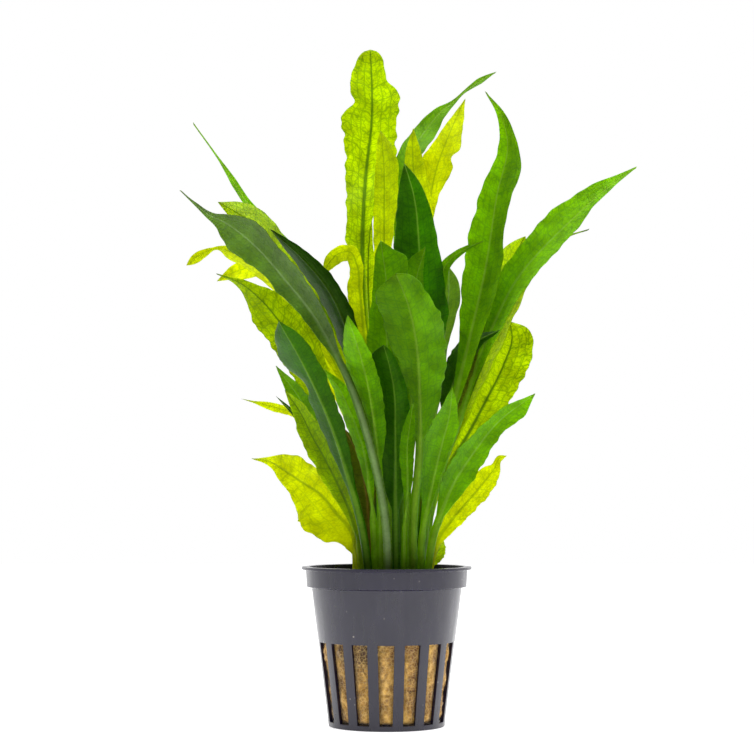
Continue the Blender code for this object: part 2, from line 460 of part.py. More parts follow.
def wedge_cutter(name, heights, halves, radii, turn, cutters):
    # A radial block: its heights, the half widths there, and the radii that it runs between.
    mesh = bpy.data.meshes.new(name)
    shape = bmesh.new()
    bmesh.ops.create_cube(shape, size=1.0)
    for vertex in shape.verts:
        top = int(vertex.co.z > 0)
        vertex.co.x = radii[int(vertex.co.x > 0)] * MM
        vertex.co.y = (halves[top] if vertex.co.y > 0 else -halves[top]) * MM
        vertex.co.z = heights[top] * MM
    shape.to_mesh(mesh)
    shape.free()
    item = add_object(name, mesh, cutters)
    item.rotation_euler.z = turn
    item.display_type = "WIRE"
    item.hide_render = True
    return item


def join_meshes(name, items, collection):
    # Puts separate cutters that never meet into one cutter.
    mesh = bpy.data.meshes.new(name)
    shape = bmesh.new()
    for item in items:
        copy = item.data.copy()
        copy.transform(item.matrix_basis)
        shape.from_mesh(copy)
        bpy.data.meshes.remove(copy)
        bpy.data.objects.remove(item)
    shape.to_mesh(mesh)
    shape.free()
    item = add_object(name, mesh, collection)
    item.display_type = "WIRE"
    item.hide_render = True
    return item


def make_pot(collection, cutters):
    step_up = POT_HEIGHT - BAND_HEIGHT
    body_in = BODY_TOP_RADIUS - WALL
    profile = [
        (0, FLOOR),
        (body_radius(FLOOR) - WALL, FLOOR),
        (body_in, step_up - WALL),
        (BAND_BOTTOM_RADIUS - WALL, step_up + LIP_ROOT),
        (BAND_TOP_RADIUS - WALL, POT_HEIGHT),
        (LIP_RADIUS, POT_HEIGHT),
        (LIP_RADIUS, POT_HEIGHT - LIP_THICK),
        (BAND_TOP_RADIUS, POT_HEIGHT - LIP_THICK - LIP_ROOT),
        (BAND_BOTTOM_RADIUS, step_up),
        (BODY_TOP_RADIUS, step_up - STEP_SLOPE),
        (BASE_RADIUS, 0),
        (0, 0),
    ]
    pot = turned("pot", profile, collection, (0.03, 0.02, 0.09), 0.35)
    turn = radians(SLOT_TURN) - pi / 2

    def half_slot(height):
        return (2 * pi * body_radius(height) / SLOTS - RIB_WIDTH) / 2

    walls = []
    for i in range(SLOTS):
        walls.append(wedge_cutter(f"slot_{i}", (SLOT_BOTTOM, SLOT_TOP),
                                  (half_slot(SLOT_BOTTOM), half_slot(SLOT_TOP)),
                                  (BASE_RADIUS - PAST, BODY_TOP_RADIUS + PAST),
                                  turn + 2 * pi * i / SLOTS, cutters))
    half = FLOOR_SLOT_WIDTH / 2
    floor = []
    for i in range(FLOOR_SLOTS):
        floor.append(wedge_cutter(f"floor_slot_{i}", (-PAST, FLOOR + PAST), (half, half),
                                  (FLOOR_SLOT_INNER, FLOOR_SLOT_OUTER),
                                  turn + 2 * pi * i / FLOOR_SLOTS, cutters))
    for name, items in (("wall_slots", walls), ("floor_slots", floor)):
        cut = pot.modifiers.new(name, "BOOLEAN")
        cut.operation = "DIFFERENCE"
        cut.solver = "EXACT"
        cut.object = join_meshes(name, items, cutters)
    return pot


def make_wool(collection):
    bottom = FLOOR + CLEAR

    def inside(height):
        return body_radius(height) - WALL - CLEAR

    profile = [
        (0, WOOL_TOP),
        (inside(WOOL_TOP) - WOOL_SHOULDER, WOOL_TOP),
        (inside(WOOL_TOP), WOOL_TOP - WOOL_SHOULDER),
        (inside(bottom + WOOL_EDGE), bottom + WOOL_EDGE),
        (inside(bottom) - WOOL_EDGE, bottom),
        (0, bottom),
    ]
    return turned("wool_plug", profile, collection, (0.45, 0.28, 0.08), 0.95)


def make_crown(collection):
    low = WOOL_TOP + CLEAR
    high = low + CROWN_HEIGHT
    profile = [
        (0, high),
        (CROWN_RADIUS - CROWN_SHOULDER, high),
        (CROWN_RADIUS, high - CROWN_SHOULDER),
        (CROWN_RADIUS - CROWN_UNDERCUT, low),
        (0, low),
    ]
    crown = turned("crown", profile, collection, (0.12, 0.09, 0.03), 0.8)
    crown.location.x = CROWN_ACROSS * MM
    return crown


def make_leaf(item, section, collection):
    # A loft through the rings, closed by a face at the foot and a fan at the tip. Front and back are
    # cut into triangles alike, from the outer point below to the inner one above, so that the two
    # sides of the thin blade never cross.
    shape = bmesh.new()
    solid = [[shape.verts.new(p) for p in ring] for ring in to_real(section[:-1])]
    tip = shape.verts.new(to_real(section[-1, 0]))
    count = len(solid[0])
    for low, high in zip(solid, solid[1:]):
        for i in range(count):
            j = (i + 1) % count
            if OUTWARD[i] > OUTWARD[j]:
                shape.faces.new((low[i], low[j], high[j]))
                shape.faces.new((low[i], high[j], high[i]))
            else:
                shape.faces.new((low[i], low[j], high[i]))
                shape.faces.new((low[j], high[j], high[i]))
    for i in range(count):
        shape.faces.new((solid[-1][i], solid[-1][(i + 1) % count], tip))
    shape.faces.new(solid[0])
    bmesh.ops.recalc_face_normals(shape, faces=shape.faces)
    if shape.calc_volume(signed=True) < 0:
        bmesh.ops.reverse_faces(shape, faces=shape.faces)
    mesh = bpy.data.meshes.new(item["name"])
    shape.to_mesh(mesh)
    shape.free()
    made = add_object(item["name"], mesh, collection, (0.12, 0.3, 0.02), 0.4)
    mesh.shade_smooth()
    mesh.set_sharp_from_angle(angle=radians(40))
    return made


def main():
    for item in list(bpy.data.objects):
        bpy.data.objects.remove(item, do_unlink=True)
    collection = bpy.data.collections.new(OBJECT_NAME)
    cutters = bpy.data.collections.new("cutters")
    bpy.context.scene.collection.children.link(collection)
    bpy.context.scene.collection.children.link(cutters)
    make_pot(collection, cutters)
    make_wool(collection)
    make_crown(collection)
    sections = [rings(item) for item in leaves]
    for item, section, move in zip(leaves, sections, make_room(sections)):
        section[:, :, 2] += move[:, None]
        stand_level(section[0])
        make_leaf(item, section, collection)


main()
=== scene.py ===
import bpy
import bmesh
import numpy as np
from math import cos, sin, pi, radians
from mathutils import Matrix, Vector, noise


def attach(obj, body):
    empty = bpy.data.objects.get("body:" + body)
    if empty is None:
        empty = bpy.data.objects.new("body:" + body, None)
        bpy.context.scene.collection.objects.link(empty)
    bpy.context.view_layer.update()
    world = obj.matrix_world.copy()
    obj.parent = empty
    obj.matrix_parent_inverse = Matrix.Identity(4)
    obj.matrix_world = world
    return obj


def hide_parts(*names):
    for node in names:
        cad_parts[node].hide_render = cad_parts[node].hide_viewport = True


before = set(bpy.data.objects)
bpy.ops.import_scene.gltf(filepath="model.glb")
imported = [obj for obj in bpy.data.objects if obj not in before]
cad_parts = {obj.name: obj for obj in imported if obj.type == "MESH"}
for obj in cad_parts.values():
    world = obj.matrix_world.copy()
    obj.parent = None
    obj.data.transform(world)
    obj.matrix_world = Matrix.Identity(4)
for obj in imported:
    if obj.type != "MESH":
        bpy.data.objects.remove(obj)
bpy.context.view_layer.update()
scene = bpy.context.scene
mm = 0.001
print("frame loaded")


def linear(hexColour):
    # sRGB hex to the linear values that shaders take
    parts = [int(hexColour[i:i + 2], 16) / 255 for i in (1, 3, 5)]
    return tuple(p / 12.92 if p <= 0.04045 else ((p + 0.055) / 1.055) ** 2.4 for p in parts) + (1.0,)


def addNode(tree, kind, inputs=None, **settings):
    # inputs: values, sockets or whole nodes (their first live output), by socket name or number
    made = tree.nodes.new("ShaderNode" + kind)
    for key, value in settings.items():
        setattr(made, key, value)
    for key, value in (inputs or {}).items():
        if isinstance(value, bpy.types.Node):
            value = next(o for o in value.outputs if o.enabled)
        if isinstance(value, bpy.types.NodeSocket):
            tree.links.new(value, made.inputs[key])
        else:
            made.inputs[key].default_value = value
    return made


def newMaterial(name):
    made = bpy.data.materials.new(name)
    made.use_nodes = True
    made.node_tree.nodes.clear()
    return made, made.node_tree


def finishMaterial(tree, shader):
    addNode(tree, "OutputMaterial", {"Surface": shader})


def newPiece(name, points, faces, material, replaced):
    mesh = bpy.data.meshes.new(name)
    mesh.from_pydata(points, [], faces)
    mesh.materials.append(material)
    mesh.shade_smooth()
    piece = bpy.data.objects.new(name, mesh)
    scene.collection.objects.link(piece)
    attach(piece, "root")
    for cadNode in replaced:
        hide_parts(cadNode)
    return piece


# Camera: a little above the pot's lip, far back, looking slightly up
camera = {"across": -3.2, "distance": 684.0, "height": 77.0, "tiltUp": 3.2, "lens": 98.07, "sensor": 36.0}


def makeCamera():
    made = bpy.data.cameras.new("camera")
    made.lens = camera["lens"]
    made.sensor_width = camera["sensor"]
    made.clip_start = 0.01
    eye = bpy.data.objects.new("camera", made)
    eye.location = (camera["across"] * mm, -camera["distance"] * mm, camera["height"] * mm)
    eye.rotation_euler = (radians(90 + camera["tiltUp"]), 0, 0)
    scene.collection.objects.link(eye)
    scene.camera = eye


makeCamera()
scene.view_settings.view_transform = "Standard"

# Studio: a white surround that is brightest behind the plant and dim in front of it, a broad soft
# light overhead, and a white floor
studio = {
    "behind": 1.45, "side": 0.42, "front": 0.04, "above": 0.35, "seen": 1.0,
    "topSize": 0.55, "topHeight": 0.62, "topWatts": 5.0, "topForward": 0.05,
    "floorSize": 3.0, "floorGlow": 0.72, "floorWhite": "#FFFFFF",
}


def makeWorld():
    world = bpy.data.worlds.new("studio")
    world.use_nodes = True
    tree = world.node_tree
    tree.nodes.clear()
    way = addNode(tree, "SeparateXYZ", {0: addNode(tree, "TexCoord").outputs["Generated"]})
    ramp = addNode(tree, "ValToRGB", {0: addNode(tree, "MapRange", {0: way.outputs["Y"], 1: -1.0, 2: 1.0})})
    stops = ramp.color_ramp.elements
    stops[0].position, stops[1].position = 0.12, 0.86
    stops[0].color = (studio["front"],) * 3 + (1,)
    stops[1].color = (studio["behind"],) * 3 + (1,)
    for position, value in ((0.36, 0.8 * studio["side"]), (0.58, studio["side"])):
        stops.new(position).color = (value,) * 3 + (1,)
    top = addNode(tree, "MapRange", {0: way.outputs["Z"], 1: 0.2, 2: 0.9, 3: 0.0, 4: studio["above"]})
    glow = addNode(tree, "Math", {0: ramp, 1: top}, operation="ADD")
    lit = addNode(tree, "Background", {"Strength": glow})
    seen = addNode(tree, "Background", {"Strength": studio["seen"]})
    seen.inputs["Color"].default_value = lit.inputs["Color"].default_value = (1, 1, 1, 1)
    rays = addNode(tree, "LightPath")
    both = addNode(tree, "MixShader", {0: rays.outputs["Is Camera Ray"], 1: lit, 2: seen})
    addNode(tree, "OutputWorld", {"Surface": both})
    scene.world = world


def makeFloor():
    # Matt white acrylic lit from below: as white as the surround, with next to no shadow
    material, tree = newMaterial("whiteFloor")
    white = addNode(tree, "BsdfPrincipled", {"Roughness": 0.9, "Base Color": linear(studio["floorWhite"])})
    white.inputs["Specular IOR Level"].default_value = 0.0
    white.inputs["Emission Color"].default_value = linear(studio["floorWhite"])
    white.inputs["Emission Strength"].default_value = studio["floorGlow"]
    finishMaterial(tree, white)
    half = studio["floorSize"] / 2
    mesh = bpy.data.meshes.new("floor")
    mesh.from_pydata([(-half, -half, 0), (half, -half, 0), (half, half, 0), (-half, half, 0)], [], [(0, 1, 2, 3)])
    mesh.materials.append(material)
    floor = bpy.data.objects.new("floor", mesh)
    floor.location.z = -0.2 * mm
    scene.collection.objects.link(floor)


def makeTopLight():
    lamp = bpy.data.lights.new("topSoftbox", "AREA")
    lamp.shape = "DISK"
    lamp.size = studio["topSize"]
    lamp.energy = studio["topWatts"]
    light = bpy.data.objects.new("topSoftbox", lamp)
    light.location = (0.06, -studio["topForward"], studio["topHeight"])
    light.visible_camera = False
    scene.collection.objects.link(light)


makeWorld()
makeFloor()
makeTopLight()
print("camera and studio made")

# The pot, a 50 mm net pot, in millimetres as the solid has it
pot = {
    "height": 52.3, "lipRadius": 28.2, "lipThick": 0.9, "bandTop": 26.8, "bandBottom": 26.5,
    "bandHeight": 6.6, "stepSlope": 0.4, "bodyTop": 24.9, "base": 19.2, "wall": 1.2, "floor": 1.3,
    "slots": 16, "turn": -0.8, "slotTop": 27.7, "slotBottom": 1.7, "rib": 3.5,
    "floorSlotHalf": 1.3, "floorSlotInner": 8.0, "floorSlotOuter": 15.5,
    "edge": 0.22, "slotColumns": 6, "ribColumns": 5,
    "plastic": "#0A051F", "scuff": "#1E1838", "dirt": "#A39C92",
}


def bodyRadius(height):
    return pot["base"] + (pot["bodyTop"] - pot["base"]) * height / (pot["height"] - pot["bandHeight"])


def polypropylene():
    # Moulded polypropylene, dyed dark violet: a satin skin with a faint bloom, fine scuffs and specks
    material, tree = newMaterial("mouldedPolypropylene")
    where = addNode(tree, "TexCoord").outputs["Object"]
    cloud = addNode(tree, "TexNoise", {"Vector": where, "Scale": 90.0, "Detail": 4.0, "Roughness": 0.6})
    stretched = addNode(tree, "Mapping", {"Vector": where, "Scale": (1.0, 1.0, 0.15)})
    flow = addNode(tree, "TexNoise", {"Vector": stretched, "Scale": 420.0, "Detail": 3.0})
    speck = addNode(tree, "TexVoronoi", {"Vector": where, "Scale": 420.0, "Randomness": 1.0})
    dust = addNode(tree, "MapRange", {0: speck, 1: 0.06, 2: 0.16, 3: 1.0, 4: 0.0})
    rare = addNode(tree, "MapRange", {0: cloud, 1: 0.56, 2: 0.68})
    dustHere = addNode(tree, "Math", {0: dust, 1: rare}, operation="MULTIPLY")
    bloom = addNode(tree, "MapRange", {0: cloud, 1: 0.42, 2: 0.78, 3: 0.0, 4: 0.25})
    base = addNode(tree, "Mix", {0: bloom, 6: linear(pot["plastic"]), 7: linear(pot["scuff"])}, data_type="RGBA")
    colour = addNode(tree, "Mix", {0: dustHere, 6: base, 7: linear(pot["dirt"])}, data_type="RGBA")
    rough = addNode(tree, "MapRange", {0: flow, 1: 0.3, 2: 0.7, 3: 0.24, 4: 0.36})
    grain = addNode(tree, "Bump", {"Height": flow, "Strength": 0.12, "Distance": 0.00012})
    relief = addNode(tree, "Bump", {"Height": dustHere, "Strength": 0.5, "Distance": 0.0001, "Normal": grain})
    skin = addNode(tree, "BsdfPrincipled", {"Base Color": colour, "Roughness": rough, "Normal": relief})
    skin.inputs["IOR"].default_value = 1.49
    finishMaterial(tree, skin)
    return material


def slotHalf(height):
    # half the width of a wall slot, where the ribs between the slots keep one width
    return (2 * pi * bodyRadius(height) / pot["slots"] - pot["rib"]) / 2


def makePot():
    stepUp = pot["height"] - pot["bandHeight"]
    wall, lip = pot["wall"], pot["lipThick"]
    inner = bodyRadius(pot["floor"]) - wall
    heights = list(np.linspace(pot["slotBottom"], pot["slotTop"], 12))
    above = list(np.linspace(pot["slotTop"], stepUp - pot["stepSlope"], 8))[1:]
    floorRadii = [2.0, 5.0, pot["floorSlotInner"], 10.5, 13.0, pot["floorSlotOuter"], 16.8]
    # the profile from the middle of the underside, up the outside, over the lip and down inside
    rows = [(r, 0.0, "floor") for r in floorRadii] + [(pot["base"], 0.0, "wall")]
    rows += [(bodyRadius(z), z, "wall") for z in heights + above]
    rows += [(pot["bandBottom"], stepUp, "plain"), (pot["bandBottom"] + 0.1, stepUp + 2.0, "plain"),
             (pot["bandTop"] - 0.05, stepUp + 4.5, "plain"),
             (pot["bandTop"], pot["height"] - lip - 0.2, "plain"),
             (pot["lipRadius"], pot["height"] - lip, "plain"), (pot["lipRadius"], pot["height"], "plain"),
             (pot["bandTop"] - wall, pot["height"], "plain"),
             (pot["bandBottom"] - wall, stepUp + 0.2, "plain"),
             (pot["bodyTop"] - wall, stepUp - wall, "plain")]
    rows += [(bodyRadius(z) - wall, z, "wall") for z in above[::-1][1:] + heights[::-1]]
    rows += [(inner, pot["floor"], "wall")] + [(r, pot["floor"], "floor") for r in floorRadii[::-1]]
    period = 2 * pi / pot["slots"]
    turn = radians(pot["turn"]) - pi / 2
    slotSteps, ribSteps = pot["slotColumns"], pot["ribColumns"]
    columns = pot["slots"] * (slotSteps + ribSteps)
    points = []
    for radius, height, kind in rows:
        if kind == "floor":
            half = min(pot["floorSlotHalf"] / radius, 0.42 * period)
        else:
            z = min(max(height, pot["slotBottom"]), pot["slotTop"])
            half = slotHalf(z) / radius
        for i in range(pot["slots"]):
            middle = turn + period * i
            angles = list(np.linspace(-half, half, slotSteps + 1))
            angles += list(np.linspace(half, period - half, ribSteps + 1))[1:-1]
            for a in angles:
                points.append((radius * cos(middle + a), radius * sin(middle + a), height))
    base = len(points)
    points += [(0, 0, 0), (0, 0, pot["floor"])]
    outerSlot = [k for k, row in enumerate(rows) if row[2] == "wall" and row[0] == bodyRadius(row[1])
                 and pot["slotBottom"] - 0.01 < row[1] < pot["slotTop"] - 0.01]
    innerSlot = {k: len(rows) - 1 - k for k in range(len(rows))}
    count = len(rows)
    firstOuter, topOuter = outerSlot[0], outerSlot[-1] + 1
    firstFloor = floorRadii.index(pot["floorSlotInner"])
    lastFloor = floorRadii.index(pot["floorSlotOuter"])

    def at(row, column):
        return row * columns + column % columns

    def isOpen(row, column):
        place, number = column % (slotSteps + ribSteps), column // (slotSteps + ribSteps)
        low = min(row, count - 2 - row)
        if place >= slotSteps:
            return False
        if firstOuter <= low < topOuter:
            return True
        return firstFloor <= low < lastFloor and number % 2 == 0

    faces = []
    for row in range(count - 1):
        for column in range(columns):
            if not isOpen(row, column):
                faces.append((at(row, column), at(row, column + 1), at(row + 1, column + 1), at(row + 1, column)))
    for column in range(columns):
        faces.append((base, at(0, column + 1), at(0, column)))
        faces.append((base + 1, at(count - 1, column), at(count - 1, column + 1)))
    # the sides of each opening, between the outer and the inner face of the wall or floor
    for low, high in ((firstOuter, topOuter), (firstFloor, lastFloor)):
        for number in range(0, pot["slots"], 1 if low == firstOuter else 2):
            left = number * (slotSteps + ribSteps)
            right = left + slotSteps
            for row in range(low, high):
                a, b = count - 1 - row, count - 2 - row
                faces.append((at(row, left), at(row + 1, left), at(b, left), at(a, left)))
                faces.append((at(row + 1, right), at(row, right), at(a, right), at(b, right)))
            for column in range(left, right):
                a, b = count - 1 - low, count - 1 - high
                faces.append((at(low, column + 1), at(low, column), at(a, column), at(a, column + 1)))
                faces.append((at(high, column), at(high, column + 1), at(b, column + 1), at(b, column)))
    points = [(x * mm, y * mm, z * mm) for x, y, z in points]
    piece = newPiece("netPot", points, faces, polypropylene(), ["pot"])
    shape = bmesh.new()
    shape.from_mesh(piece.data)
    bmesh.ops.recalc_face_normals(shape, faces=shape.faces)
    shape.to_mesh(piece.data)
    shape.free()
    piece.data.shade_smooth()
    round_ = piece.modifiers.new("roundEdges", "BEVEL")
    round_.width = pot["edge"] * mm
    round_.segments = 2
    round_.limit_method = "ANGLE"
    round_.angle_limit = radians(38)
    round_.harden_normals = True
    return piece


makePot()
print("pot made")

# Mineral wool: fills the pot and swells a little into the slots
wool = {
    "top": 42.0, "low": 1.6, "clear": 0.35, "bulge": 0.9, "lump": 0.55, "around": 288, "up": 96,
    "fibres": 3400, "fibreRadius": 0.05, "fibreLength": (3.0, 8.0),
    # gold and brown: the wool's own colours, also used as painted light and shade; the near-black is painted shade for
    # its hollows
    "gold": "#C79A45", "pale": "#E3C27A", "brown": "#6B4318", "deep": "#2E1708",
}


def mineralWool():
    # Mineral wool: a matt mat of fine glassy fibres. Its own gold and brown carry painted light and shade:
    # gold patches stand for lit tufts, brown and near-black ones for painted shade in its hollows.
    material, tree = newMaterial("mineralWool")
    where = addNode(tree, "TexCoord").outputs["Object"]
    clump = addNode(tree, "TexNoise", {"Vector": where, "Scale": 160.0, "Detail": 5.0, "Roughness": 0.65})
    hollowShadeNoise = addNode(tree, "TexNoise", {"Vector": where, "Scale": 42.0, "Detail": 2.0})
    strand = addNode(tree, "TexVoronoi", {"Vector": where, "Scale": 900.0}, feature="DISTANCE_TO_EDGE")
    # painted light and shade: noise mixes brown and gold, gold standing for lit tufts and brown for shaded ones
    shade = addNode(tree, "MapRange", {0: clump, 1: 0.36, 2: 0.64})
    body = addNode(tree, "Mix", {0: shade, 6: linear(wool["brown"]), 7: linear(wool["gold"])}, data_type="RGBA")
    # painted shade: near-black patches laid by noise stand for the shade in its hollows
    dark = addNode(tree, "MapRange", {0: hollowShadeNoise, 1: 0.44, 2: 0.34, 3: 0.0, 4: 0.75})
    deep = addNode(tree, "Mix", {0: dark, 6: body, 7: linear(wool["deep"])}, data_type="RGBA")
    light = addNode(tree, "MapRange", {0: strand, 1: 0.0, 2: 0.12, 3: 0.5, 4: 0.0})
    colour = addNode(tree, "Mix", {0: light, 6: deep, 7: linear(wool["pale"])}, data_type="RGBA")
    bump = addNode(tree, "Bump", {"Height": clump, "Strength": 0.6, "Distance": 0.0005})
    mat = addNode(tree, "BsdfPrincipled", {"Base Color": colour, "Roughness": 0.85, "Normal": bump})
    mat.inputs["Sheen Weight"].default_value = 0.3
    finishMaterial(tree, mat)
    return material


def inSlot(angle, height):
    # 1 in the middle of a slot, falling to 0 at its sides and ends
    period = 2 * pi / pot["slots"]
    off = (angle - radians(pot["turn"]) + pi / 2 + period / 2) % period - period / 2
    height = min(max(height, pot["slotBottom"]), pot["slotTop"] + 2)
    across = 1 - abs(off) * bodyRadius(height) / slotHalf(min(height, pot["slotTop"]))
    ends = min((height - pot["slotBottom"]) / 2.5, (pot["slotTop"] - height) / 2.5)
    return max(0.0, min(1.0, 1.8 * across)) * max(0.0, min(1.0, ends))


def woolPoint(angle, height, lift=0.0):
    radius = bodyRadius(height) - pot["wall"] - wool["clear"]
    place = Vector((cos(angle) * radius, sin(angle) * radius, height))
    lump = noise.fractal(place * 0.35, 0.9, 2.1, 3) * wool["lump"]
    swell = inSlot(angle, height)
    radius += swell * wool["bulge"] * (0.6 + 0.8 * noise.noise(place * 0.22)) + min(lump, 0.25) * (0.35 + swell)
    radius = min(radius, bodyRadius(height) - (0.1 if swell > 0.3 else pot["wall"] + 0.2))
    return Vector((cos(angle) * (radius + lift), sin(angle) * (radius + lift), height))


def makeWool():
    rnd = np.random.default_rng(7)
    around, up = wool["around"], wool["up"]
    points, faces = [], []
    low, high = wool["low"], wool["top"]
    levels = list(np.linspace(low + 1.4, high - 0.6, up))
    for z in levels:
        points += [woolPoint(2 * pi * i / around, z) for i in range(around)]
    for k in range(up - 1):
        for i in range(around):
            j = (i + 1) % around
            faces.append((k * around + i, k * around + j, (k + 1) * around + j, (k + 1) * around + i))
    # the top and the underside close inwards, ring by ring
    for start, level, sign in (((up - 1) * around, high, 1), (0, low, -1)):
        last = start
        outer = bodyRadius(level) - pot["wall"] - 0.6
        for radius in (outer - 0.5, outer * 0.82, outer * 0.62, outer * 0.42, outer * 0.2):
            first = len(points)
            for i in range(around):
                a = 2 * pi * i / around
                x, y = cos(a) * radius, sin(a) * radius
                rough = 0.5 * noise.fractal(Vector((x, y, level)) * 0.3, 0.9, 2.0, 3)
                points.append(Vector((x, y, level - sign * 0.3 + (rough - 0.25 if sign > 0 else 0.1))))
            for i in range(around):
                j = (i + 1) % around
                quad = (last + i, last + j, first + j, first + i)
                faces.append(quad if sign > 0 else quad[::-1])
            last = first
        middle = len(points)
        points.append(Vector((0, 0, level - sign * 0.3)))
        for i in range(around):
            tri = (last + i, last + (i + 1) % around, middle)
            faces.append(tri if sign > 0 else tri[::-1])
    # loose fibres on the outside: thin three-sided strands, curved, most of them in the slots
    for _ in range(wool["fibres"]):
        angle, height = rnd.uniform(0, 2 * pi), rnd.uniform(low + 2, pot["slotTop"] + 3)
        length = rnd.uniform(*wool["fibreLength"])
        lean, bend = rnd.uniform(-pi, pi), rnd.normal(0, 0.5)
        lifts = rnd.uniform(0.0, 0.35, 2)
        line = []
        for t in np.linspace(0, 1, 5):
            way = lean + bend * (t - 0.5)
            a = angle + cos(way) * length * (t - 0.5) / bodyRadius(height)
            z = min(max(height + sin(way) * length * (t - 0.5), low + 1.5), high - 1.5)
            lift = -0.12 + lifts[0] * sin(pi * t) + lifts[1] * t * 0.4
            line.append(woolPoint(a, z, lift if inSlot(a, z) > 0.15 else -0.1))
        first = len(points)
        for k, centre in enumerate(line):
            ahead = (line[min(k + 1, 4)] - line[max(k - 1, 0)]).normalized()
            out = Vector((centre.x, centre.y, 0)).normalized()
            side = ahead.cross(out).normalized()
            thick = wool["fibreRadius"] * (0.4 if k in (0, 4) else 1.0)
            for m in range(3):
                turn = 2 * pi * m / 3
                points.append(centre + (out * cos(turn) + side * sin(turn)) * thick)
        for k in range(4):
            for m in range(3):
                a, b = first + 3 * k + m, first + 3 * k + (m + 1) % 3
                faces.append((a, b, b + 3, a + 3))
        faces.append((first + 2, first + 1, first))
        faces.append((first + 12, first + 13, first + 14))
    points = [tuple(p * mm) for p in points]
    return newPiece("mineralWoolPlug", points, faces, mineralWool(), ["wool_plug"])


makeWool()
print("mineral wool made")

# The crown: a short rhizome, ringed with the scars of old leaf bases
crown = {
    "across": 2.1, "low": 42.1, "high": 46.9, "radius": 15.6, "lumps": 0.7, "around": 160, "rings": 34,
    "bark": "#5B4320", "moss": "#5E6A1E", "dark": "#20140A",
}


def rhizome():
    # Rhizome bark: rough and fibrous, brown, greener between the stalks
    material, tree = newMaterial("rhizomeBark")
    where = addNode(tree, "TexCoord").outputs["Object"]
    lump = addNode(tree, "TexNoise", {"Vector": where, "Scale": 260.0, "Detail": 5.0})
    fibre = addNode(tree, "TexVoronoi", {"Vector": where, "Scale": 520.0}, feature="DISTANCE_TO_EDGE")
    green = addNode(tree, "MapRange", {0: lump, 1: 0.42, 2: 0.62})
    body = addNode(tree, "Mix", {0: green, 6: linear(crown["bark"]), 7: linear(crown["moss"])}, data_type="RGBA")
    gap = addNode(tree, "MapRange", {0: fibre, 1: 0.0, 2: 0.1, 3: 0.8, 4: 0.0})
    colour = addNode(tree, "Mix", {0: gap, 6: body, 7: linear(crown["dark"])}, data_type="RGBA")
    bump = addNode(tree, "Bump", {"Height": fibre, "Strength": 0.7, "Distance": 0.0004})
    bark = addNode(tree, "BsdfPrincipled", {"Base Color": colour, "Roughness": 0.75, "Normal": bump})
    finishMaterial(tree, bark)
    return material


def makeCrown():
    around, rings = crown["around"], crown["rings"]
    points, faces = [], []
    for k in range(rings):
        t = pi * (k + 0.5) / rings
        for i in range(around):
            a = 2 * pi * i / around
            flat = abs(sin(t)) ** 0.45
            x, y = cos(a) * crown["radius"] * flat, sin(a) * crown["radius"] * flat
            z = cos(t) / max(abs(cos(t)), abs(sin(t)) ** 3, 0.05)
            z = max(-1.0, min(1.0, z))
            place = Vector((x, y, z * 2)) * 0.45
            lump = noise.fractal(place, 0.9, 2.0, 4) * crown["lumps"]
            scar = 0.25 * sin(5 * a + 9 * z) * sin(t)
            grow = 1 + min(0.0, lump + scar - 0.35) / crown["radius"]
            middle, half = (crown["low"] + crown["high"]) / 2, (crown["high"] - crown["low"]) / 2
            points.append((x * grow + crown["across"], y * grow, middle + half * z * 0.94 + 0.12 * lump * sin(3 * a)))
    for k in range(rings - 1):
        for i in range(around):
            j = (i + 1) % around
            faces.append((k * around + j, k * around + i, (k + 1) * around + i, (k + 1) * around + j))
    faces.append(tuple(range(around)))
    faces.append(tuple(range((rings - 1) * around, rings * around))[::-1])
    points = [(x * mm, y * mm, z * mm) for x, y, z in points]
    return newPiece("rhizomeCrown", points, faces, rhizome(), ["crown"])


makeCrown()
print("crown made")

# The leaves. Each is drawn as the eye at the camera sees it, in millimetres on an upright sheet
# through the pot's axis; its depth moves it along the line of sight.
leafForm = {
    "foot": 47.0, "sunk": 45.8, "flattenFrom": 0.75, "flattenOver": 0.35, "near": 0.004, "leastTurned": 0.45,
    "stalkRings": (0.0, 0.4, 0.8),
    "bladeRings": (0.05, 0.15, 0.25, 0.35, 0.45, 0.55, 0.65, 0.745, 0.83, 0.91, 0.97),
    "stalkSteps": 26, "bladeSteps": 86,
    "places": (0, 0.035, 0.08, 0.14, 0.24, 0.36, 0.46, 0.57, 0.68, 0.79, 0.89, 0.965, 1),
    "margin": 0.06, "middle": 0.14, "ribHeight": 0.8, "groove": 0.3, "ridge": 0.07, "plump": 0.3,
    "cockle": 0.2, "frill": 0.22, "uneven": 0.03,
}
lance = ((0, 0.14), (0.12, 0.42), (0.3, 0.8), (0.5, 1.0), (0.68, 0.94), (0.84, 0.62), (0.94, 0.26), (1, 0))
leaves = []


def leaf(name, root, path, depth, blade, foot, stalk=1.25, roll=(0, 0), fold=16, wave=0.0, waves=3.0,
         look="fresh", tone=1.0, tip=0.1, spot=(0, 0, 0)):
    # root: across and depth at the crown. path: across and up, to the tip. depth: at the middle and the
    # tip. blade: widest left and right half, or rows of share, left, right. foot: share of the length
    # where the blade begins. stalk: half its thickness. roll: turn about its own length, at foot and
    # tip. fold: how far the halves bend back. wave: the edge's ripple. look: its tissue. tone: painted
    # light and shade, how light the whole leaf is, or its left and its right half, for how light falls
    # through and on it. tip: how far the tip has browned. spot: a dark speck's across, share and radius.
    leaves.append(dict(name=name, root=root, path=path, depth=depth, blade=blade, foot=foot, stalk=stalk,
                       roll=roll, fold=fold, wave=wave, waves=waves, look=look, tone=tone, tip=tip, spot=spot))


